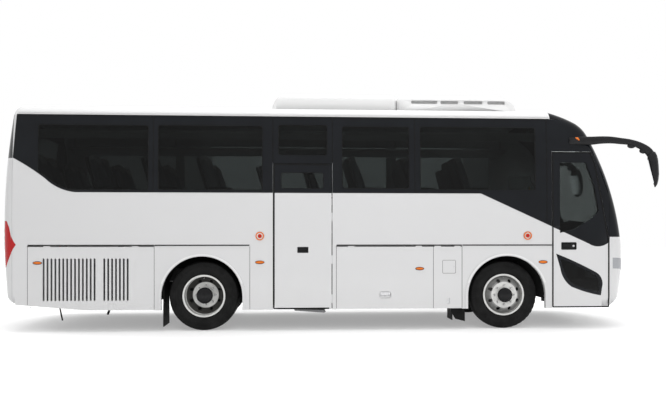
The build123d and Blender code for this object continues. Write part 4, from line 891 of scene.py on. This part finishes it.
# Height, rear and front edge, and half width of the head's sections
head_rows = [(2.028, 4.5245, 4.5385, 0.025), (2.059, 4.5165, 4.5575, 0.062), (2.080, 4.508, 4.566, 0.080),
             (2.130, 4.495, 4.577, 0.100), (2.216, 4.4765, 4.5845, 0.112), (2.330, 4.4505, 4.5795, 0.115),
             (2.415, 4.4315, 4.5725, 0.108), (2.472, 4.431, 4.560, 0.092), (2.500, 4.437, 4.549, 0.075),
             (2.529, 4.443, 4.535, 0.050)]
head_x = 4.515
head_y = 1.368
head_turn = math.radians(27.5)
glass_low, glass_high = 2.07, 2.47
glass_thick = 0.003
glass_hollow = 0.014
glass_across = (-0.84, -0.42, 0.0, 0.42, 0.84)
mirror_lamp_view = [(3.420, 2.750), (3.426, 2.712), (3.509, 2.660), (3.578, 2.640), (3.586, 2.667),
                    (3.499, 2.758)]
knob_places = ((4.218, 1.305, 2.622, 0.060, 0.036), (4.375, 1.336, 2.548, 0.055, 0.040))
knob_half_wide = 0.030


def headed(x, across, z, side):
    """A point of the mirror head, turned in about its upright axis towards the driver."""
    dx = x - head_x
    return Vector((head_x + dx * math.cos(head_turn) - across * math.sin(head_turn),
                   side * (head_y + dx * math.sin(head_turn) + across * math.cos(head_turn)), z))


def superellipse(count, power):
    return [(math.copysign(abs(c) ** (2 / power), c), math.copysign(abs(s) ** (2 / power), s))
            for c, s in ((math.cos(a), math.sin(a)) for a in turns(count))]


def knob(x, y, z, half, high):
    """A rounded swelling along the arm."""
    steps = [math.cos(math.pi * i / 12) for i in range(13)]
    shares = [max(math.sqrt(1 - c * c), 0.05) for c in steps]
    return tube([(x + half * c, y, z) for c in steps], [(knob_half_wide * s, high * s) for s in shares], 16)


def mirror(side, side_name):
    line = smooth_path([(x, side * y, z) for x, y, z in arm_line], arm_steps)
    halves = []
    for i in range(len(line)):
        low = min(i // arm_steps, len(arm_half) - 2)
        part = i / arm_steps - low
        halves.append(tuple(a * (1 - part) + b * part for a, b in zip(arm_half[low], arm_half[low + 1])))
    arm = piece(f"mirror_arm_{side_name}", black_satin, "body", tube(line, halves, 20), smooth=50)
    piece(f"mirror_head_{side_name}", black_satin, "body", skin([
        [headed((rear + front) / 2 + (front - rear) / 2 * u, half * v, z, side)
         for u, v in superellipse(32, 2.8)]
        for z, rear, front, half in head_rows]), smooth=60)
    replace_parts(arm, f"mirror_{side_name}")
    piece(f"mirror_glass_{side_name}", mirror_face, "body", skin([
        [headed(rear - back + glass_hollow * v * v, half * v, z, side)
         for back, order in ((0, 1), (glass_thick, -1)) for v in glass_across[::order]]
        for z, rear, front, half in head_rows if glass_low < z < glass_high]), smooth=40)
    piece(f"mirror_lamp_{side_name}", amber_lens, "body",
          dome(rounded(mirror_lamp_view, 0.008), 0.022, on_flat(side, 0.019)), smooth=50)
    piece(f"mirror_knobs_{side_name}", black_satin, "body", *(
        knob(x, side * y, z, half, high) for x, y, z, half, high in knob_places), smooth=50)


for side, side_name in sides:
    mirror(side, side_name)


# Roof: the units' rounder ends, grilles in the front unit's vents and fans in the rear unit's wells
unit_vents = [(1.109, 1.493), (1.541, 1.803), (1.886, 2.167), (2.240, 2.502)]
unit_half = 0.900
unit_top = 3.380
unit_side = [(-0.930, 3.000), (2.690, 3.000), (2.690, 3.130), (2.672, 3.205), (2.640, 3.250),
             (2.590, 3.292), (2.520, 3.335), (2.450, 3.362), (2.370, 3.377), (2.300, 3.390),
             (-0.740, 3.390), (-0.790, 3.372), (-0.840, 3.340), (-0.885, 3.285), (-0.915, 3.215),
             (-0.930, 3.140)]
fan_places = [(x, y) for x in (-0.560, 0.0, 0.560) for y in (-0.400, 0.400)]
fan_radius = 0.186
well_z = unit_top - 0.040
guard_radii = (0.055, 0.085, 0.115, 0.145, 0.178)
hatch_x = (-2.700, -1.865)


def fan(x, y):
    """Seven twisted blades and a hub above a plate."""
    place = on_level(well_z)
    shapes = [shell([(disc((x, y), fan_radius, 40), lift) for lift in (0.0005, 0.003)], place)]
    for turn in turns(7):
        rows = []
        for radius, spread in ((0.045, 0.30), (0.11, 0.34), (0.172, 0.30)):
            row = []
            for share, thick in ((-1, 0), (1, 0), (1, 0.002), (-1, 0.002)):
                a = turn + share * spread
                row.append(place((x + radius * math.cos(a), y + radius * math.sin(a)),
                                 0.012 + 0.009 * share + thick))
            rows.append(row)
        shapes.append(skin(rows))
    hub = ((0.05, 0.002), (0.05, 0.026), (0.04, 0.031))
    return shapes + [shell([(disc((x, y), radius, 24), lift) for radius, lift in hub], place)]


def fan_guard(x, y):
    shapes = []
    for radius in guard_radii:
        ring = [on_level(unit_top - 0.006)(p) for p in disc((x, y), radius, 40)]
        shapes.append(tube(ring, 0.0022, 6, True))
    for turn in turns(12)[:6]:
        reach = Vector((math.cos(turn), math.sin(turn))) * fan_radius
        spoke = [on_level(unit_top - 0.0085)(Vector((x, y)) + reach * end) for end in (-1, 1)]
        shapes.append(tube(spoke, 0.0026, 6))
    return shapes


def roof_details():
    # The units take the lighter white, a painted highlight.
    units = carved(copied("ac_unit", "roof_units"), prism(unit_side, -1.5, 1.5), "INTERSECT")
    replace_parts(keep(units, painted_highlight_white, "body"), "ac_unit")
    slats = []
    for side in (right, left):
        back, front, inner, outer = (side * (unit_half - deep) for deep in (0.0255, 0.020, 0.022, 0.004))
        for x_low, x_high in unit_vents:
            slats.append(brick((x_low + 0.002, back, 3.270), (x_high - 0.002, front, 3.314), 0.001))
            slats += [brick((x_low + 0.004, inner, z - 0.0015), (x_high - 0.004, outer, z + 0.0015), 0.0005)
                      for z in (3.279, 3.289, 3.299, 3.309)]
    piece("unit_vent_grilles", grille_grey, "body", *slats)
    piece("roof_fans", black_satin, "body", *(shape for spot in fan_places for shape in fan(*spot)))
    piece("roof_fan_guards", steel, "body", *(shape for spot in fan_places for shape in fan_guard(*spot)))
    piece("hatch_seals", rubber, "body", *(
        bead(box_outline(x - 0.305, x + 0.305, -0.305, 0.305, 0.06), 0.014, 0.006, on_roof, step=0.05)
        for x in hatch_x))


roof_details()


# Nose: lamp units and intake mesh
headlamp_view = [(0.700, 0.780), (1.000, 0.800), (1.150, 0.840), (1.150, 0.990), (1.080, 0.985),
                 (0.760, 0.900)]
headlamp_eyes = ((0.845, 0.852, 0.034), (0.945, 0.882, 0.040), (1.045, 0.910, 0.030))


def nose_details():
    place = on_end(1)
    for side, side_name in sides:
        eyes = [((side * y, z), radius) for y, z, radius in headlamp_eyes]
        piece(f"headlamp_eyes_{side_name}", mirror_face, "body", *(
            dome(disc(centre, radius, 32), 0.006, place, 3, 0.001) for centre, radius in eyes),
            slot="clear_lens")
        piece(f"headlamp_rings_{side_name}", steel, "body", *(
            bead(disc(centre, radius + 0.004, 32), 0.007, 0.004, place) for centre, radius in eyes))
        fog = (side * 0.860, 0.500)
        piece(f"fog_lamp_{side_name}", clear_lens, "body", dome(disc(fog, 0.044, 32), 0.010, place, 4, 0.0))
        piece(f"fog_lamp_rim_{side_name}", black_satin, "body",
              bead(disc(fog, 0.052, 32), 0.012, 0.005, place))
        view = [(side * y, z) for y, z in headlamp_view][::side]
        piece(f"headlamp_seal_{side_name}", rubber, "body",
              bead(rounded(view, 0.02), 0.006, 0.0015, place, step=0.03))
    piece("intake_screen", black_satin, "body", brick((4.215, -0.560, 0.470), (4.222, 0.560, 0.650), 0.001))


nose_details()


# Tail: lenses and rings in the lamps, their tips round the corner, the lid's handle and the glass seal
tail_lamp_y = 1.110
tip_view = [(-4.479, 1.105), (-4.446, 1.168), (-4.418, 1.207), (-4.418, 1.217), (-4.446, 1.256),
            (-4.479, 1.325)]


def tail_details():
    place = on_end(-1)
    for side, side_name in sides:
        y = side * tail_lamp_y
        piece(f"turn_lens_{side_name}", amber_lens, "body",
              dome(oval((y, 1.400), 0.042, 0.050), 0.006, place, 3))
        piece(f"reverse_lens_{side_name}", clear_lens, "body",
              dome(oval((y, 1.040), 0.042, 0.040), 0.006, place, 3))
        for number, z in enumerate((1.300, 1.220, 1.140)):
            piece(f"tail_ring_{side_name}_{number}", steel, "body",
                  bead(disc((y, z), 0.034, 32), 0.008, 0.004, place))
        piece(f"tail_lamp_tip_{side_name}", red_lens, "body",
              plate(tip_view, 0.0022, on_flat(side), 0.0008, 0.001))
    piece("lid_handle", black_satin, "engine_lid_leaf",
          plate(box_outline(-0.110, 0.110, 0.585, 0.630, 0.018), 0.012, place, 0.004))
    piece("rear_glass_seal", rubber, "body",
          bead(box_outline(-0.970, 0.970, 1.940, 2.950, 0.06), 0.010, 0.0022, place, step=0.06))


tail_details()


# Inside: padded double seats on pedestals, the driver's place, rails
seat_pitch = 0.770
seat_rows = {right: [-4.000, -3.230, -2.460, -1.690, 0.430, 1.200, 1.970],
             left: [-4.000 + seat_pitch * n for n in range(9)]}
seat_y = (0.482, 0.928)
channel_half = 0.022


def pad(half, power, cuts, channels, middle, tilt, puff=0.0):
    """A crowned cushion: a rounded closed form with sewn channels across its front, tilted about Y."""
    work = bmesh.new()
    bmesh.ops.create_cube(work, size=2)
    bmesh.ops.subdivide_edges(work, edges=work.edges[:], cuts=cuts, use_grid_fill=True)
    turn = math.radians(tilt)
    for v in work.verts:
        x, y, z = v.co
        size = (abs(x) ** power + abs(y) ** power + abs(z) ** power) ** (1 / power)
        scale = max(abs(x), abs(y), abs(z)) / size
        u, w, t = x * scale * half[0], y * scale * half[1], z * scale * half[2]
        for channel in channels:
            near = abs(w - channel)
            if near < channel_half:
                u *= 1 - 0.16 * (1 - near / channel_half)
        u += puff * (1 - y * y) * (1 - z * z) * (1 if x > 0 else 0)
        v.co = (middle[0] + u * math.cos(turn) + t * math.sin(turn), middle[1] + w,
                middle[2] - u * math.sin(turn) + t * math.cos(turn))
    return taken(work)


def seat_parts(x, y, base, half_wide):
    """One person's seat: its cushion and back, its head cover, and its moulded back shell."""
    channels = (-half_wide * 0.45, half_wide * 0.45)
    soft = [pad((0.055, half_wide, 0.245), 6, 9, channels, (x + 0.185, y, base + 0.415), 84, 0.018),
            pad((0.050, half_wide, 0.340), 6, 9, channels, (x - 0.105, y, base + 0.720), -17, 0.022)]
    head = pad((0.052, half_wide * 0.72, 0.095), 5, 7, (), (x - 0.195, y, base + 1.010), -12, 0.014)
    back = pad((0.022, half_wide * 0.97, 0.375), 9, 5, (), (x - 0.175, y, base + 0.715), -17)
    return soft, head, back


def seat_frame(x, side):
    """The arm rests, legs and tray of a double seat."""
    def at(dx, y, up):
        return x + dx, side * y, podium_z + up

    rest = ((-0.13, 0.50), (-0.10, 0.625), (0.05, 0.640), (0.22, 0.625))
    rests = [tube(smooth_path([at(dx, y, up) for dx, up in rest], 3), 0.016, 8) for y in (0.262, 1.146)]
    legs = [tube([at(dx, y, 0.35), at(dx, y, 0.002)], 0.018, 8)
            for dx in (-0.02, 0.26) for y in (0.40, 1.08)]
    return rests + legs + [brick(at(-0.08, 0.28, 0.335), at(0.40, 1.13, 0.360), 0.004)]


def seats(pads_name, covers_name, places, base, half_wide, cad_node):
    """The cushions and head covers of one or more seats; gives their back shells."""
    parts = [seat_parts(x, y, base, half_wide) for x, y in places]
    soft = [cushion for cushions, _, _ in parts for cushion in cushions]
    pads = piece(pads_name, seat_cloth, "body", *soft, smooth=60)
    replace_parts(pads, cad_node)
    covers = piece(covers_name, seat_pale, "body", *(head for _, head, _ in parts), smooth=60)
    return [back for _, _, back in parts]


def seating():
    places = [(x, side * y) for side, rows in seat_rows.items() for x in rows for y in seat_y]
    backs = seats("saloon_seat_pads", "saloon_head_pads", places, podium_z, 0.215, "passenger_seats")
    piece("saloon_seat_shells", black_satin, "body", *backs, smooth=50)
    frames = [shape for side, rows in seat_rows.items() for x in rows for shape in seat_frame(x, side)]
    piece("saloon_seat_frames", chassis_black, "body", *frames, smooth=40)
    backs = seats("driver_seat_pads", "driver_head_pad", [(3.170, 0.640)], cab_floor_z, 0.245,
                  "driver_seat")
    pedestal = brick((3.130, 0.500, cab_floor_z + 0.002), (3.440, 0.780, cab_floor_z + 0.34), 0.03)
    piece("driver_seat_shell", black_satin, "body", *backs, pedestal, smooth=50)


seating()


def cab():
    """The instrument hood on the dashboard and the rails at the doors."""
    hood = rounded([(3.735, 1.470), (3.900, 1.560), (3.860, 1.640), (3.790, 1.650), (3.740, 1.580)], 0.02)
    piece("instrument_hood", black_satin, "body", prism(hood, 0.400, 0.880))
    rails = [[(x, y, 1.25), (x, y, high)] for x, y, high in
             ((-0.860, -0.300, 2.20), (-0.110, -0.300, 2.20), (3.060, -0.320, 2.10))]
    rails.append(smooth_path([(-0.84, -0.30, 2.10), (-0.84, -0.34, 2.20), (-0.84, -0.50, 2.25),
                              (-0.84, -0.90, 2.25)], 4))
    piece("grab_rails", yellow_rail, "body", *(tube(rail, 0.016) for rail in rails))


cab()


def underside():
    """A drain pipe, moulded ribs and skirts at the mudflaps, and the strap under the tail."""
    pipe = smooth_path([(-3.20, -0.95, 0.52), (-3.20, -0.98, 0.40), (-3.205, -1.02, 0.30),
                        (-3.215, -1.08, 0.235)], 5)
    piece("drain_pipe", black_satin, "body", tube(pipe, 0.016), slot="rubber")
    rear_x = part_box("mudflaps")[0].x
    rib_y = [side * (0.745 + 0.06 * n) for side in (right, left) for n in range(7)]
    piece("mudflap_ribs", rubber, "body", *(
        brick((rear_x - 0.004, y - 0.004, 0.09), (rear_x + 0.001, y + 0.004, 0.62), 0.0015) for y in rib_y))
    skirt = [(1.645, 0.300), (1.645, 0.240), (1.702, 0.145), (1.842, 0.110), (1.842, 0.300)]
    for side, side_name in sides:
        piece(f"mudflap_skirt_{side_name}", rubber, "body", prism(skirt, side * 1.143, side * 1.152))
    strap = [(-3.866, -1.100, 0.420), (-3.865, -1.100, 0.318), (-3.848, -1.100, 0.230),
             (-3.831, -1.100, 0.152)]
    piece("static_strap", rubber, "body", tube(strap, 0.011, 8))


underside()


# Stage, lamps and camera

def stage():
    """A pale floor that keeps the shadow, with a painted shadow round the coach where its glow is turned
    down, and a white surround, with soft lamps.
    """
    world = bpy.data.worlds.new("surround")
    bpy.context.scene.world = world
    g = Graph(world)
    lighting = g.fill(g.nodes["Background"], {"Color": (1, 1, 1), "Strength": 0.60})
    white = g.add("ShaderNodeBackground", {"Color": (1, 1, 1), "Strength": 1.0})
    g.either(g.seen_by_eye(), lighting, white)

    material = bpy.data.materials.new("studio_floor")
    g = Graph(material)
    g.fill(g.shader, {"Base Color": (0.80, 0.80, 0.80), "Roughness": 0.9, "Specular IOR Level": 0.0})
    shade = g.add("ShaderNodeBsdfDiffuse", {"Color": (0.66, 0.66, 0.66)})
    # The floor's glow is weakest near the coach and rises further out: a painted shadow under and around
    # it.
    away = g.distance((0, 0, 0), (1 / 6.2, 1 / 3.0, 1))
    glow = g.add("ShaderNodeEmission", {"Strength": g.ranged(away, 0.34, 0.85, 0.70, 1.25)})
    both = g.add("ShaderNodeAddShader", {0: shade.outputs[0], 1: glow.outputs[0]})
    g.either(g.seen_by_eye(), g.shader, both)
    corners = [(x * 60, y * 60, 0) for x, y in ((-1, -1), (1, -1), (1, 1), (-1, 1))]
    mesh = mesh_of("studio_floor", corners, [[0, 1, 2, 3]])
    mesh.materials.append(material)
    linked(bpy.data.objects.new("studio_floor", mesh))

    for name, place, aim, size, power in (
        ("overhead", (0, 0, 9.5), (0, 0, 0), 12, 810),
        ("near_side", (1, -13, 7), (0.6, 0, 1.6), 9, 570),
        ("far_side", (1, 13, 7), (0.6, 0, 1.6), 9, 570),
        ("nose", (14, -4, 6), (3, 0, 1.6), 7, 350),
        ("tail", (-14, 4, 6), (-3, 0, 1.6), 7, 350),
    ):
        lamp = bpy.data.lights.new(name, "AREA")
        lamp.size = size
        lamp.energy = power
        holder = linked(bpy.data.objects.new(name, lamp))
        holder.visible_glossy = False
        holder.location = place
        holder.rotation_euler = (Vector(aim) - Vector(place)).to_track_quat("-Z", "Y").to_euler()


def camera():
    """The photograph's view of the door side, level, with its horizon low in the frame."""
    data = bpy.data.cameras.new("view")
    data.sensor_width = 36
    data.lens = 38.49
    data.shift_y = 35 / 666
    holder = linked(bpy.data.objects.new("view", data))
    holder.location = (-0.635, -11.240, 1.346)
    holder.rotation_euler = (math.radians(90), 0, math.radians(-3.3))
    bpy.context.scene.camera = holder
    bpy.context.scene.view_settings.view_transform = "Standard"


stage()
camera()
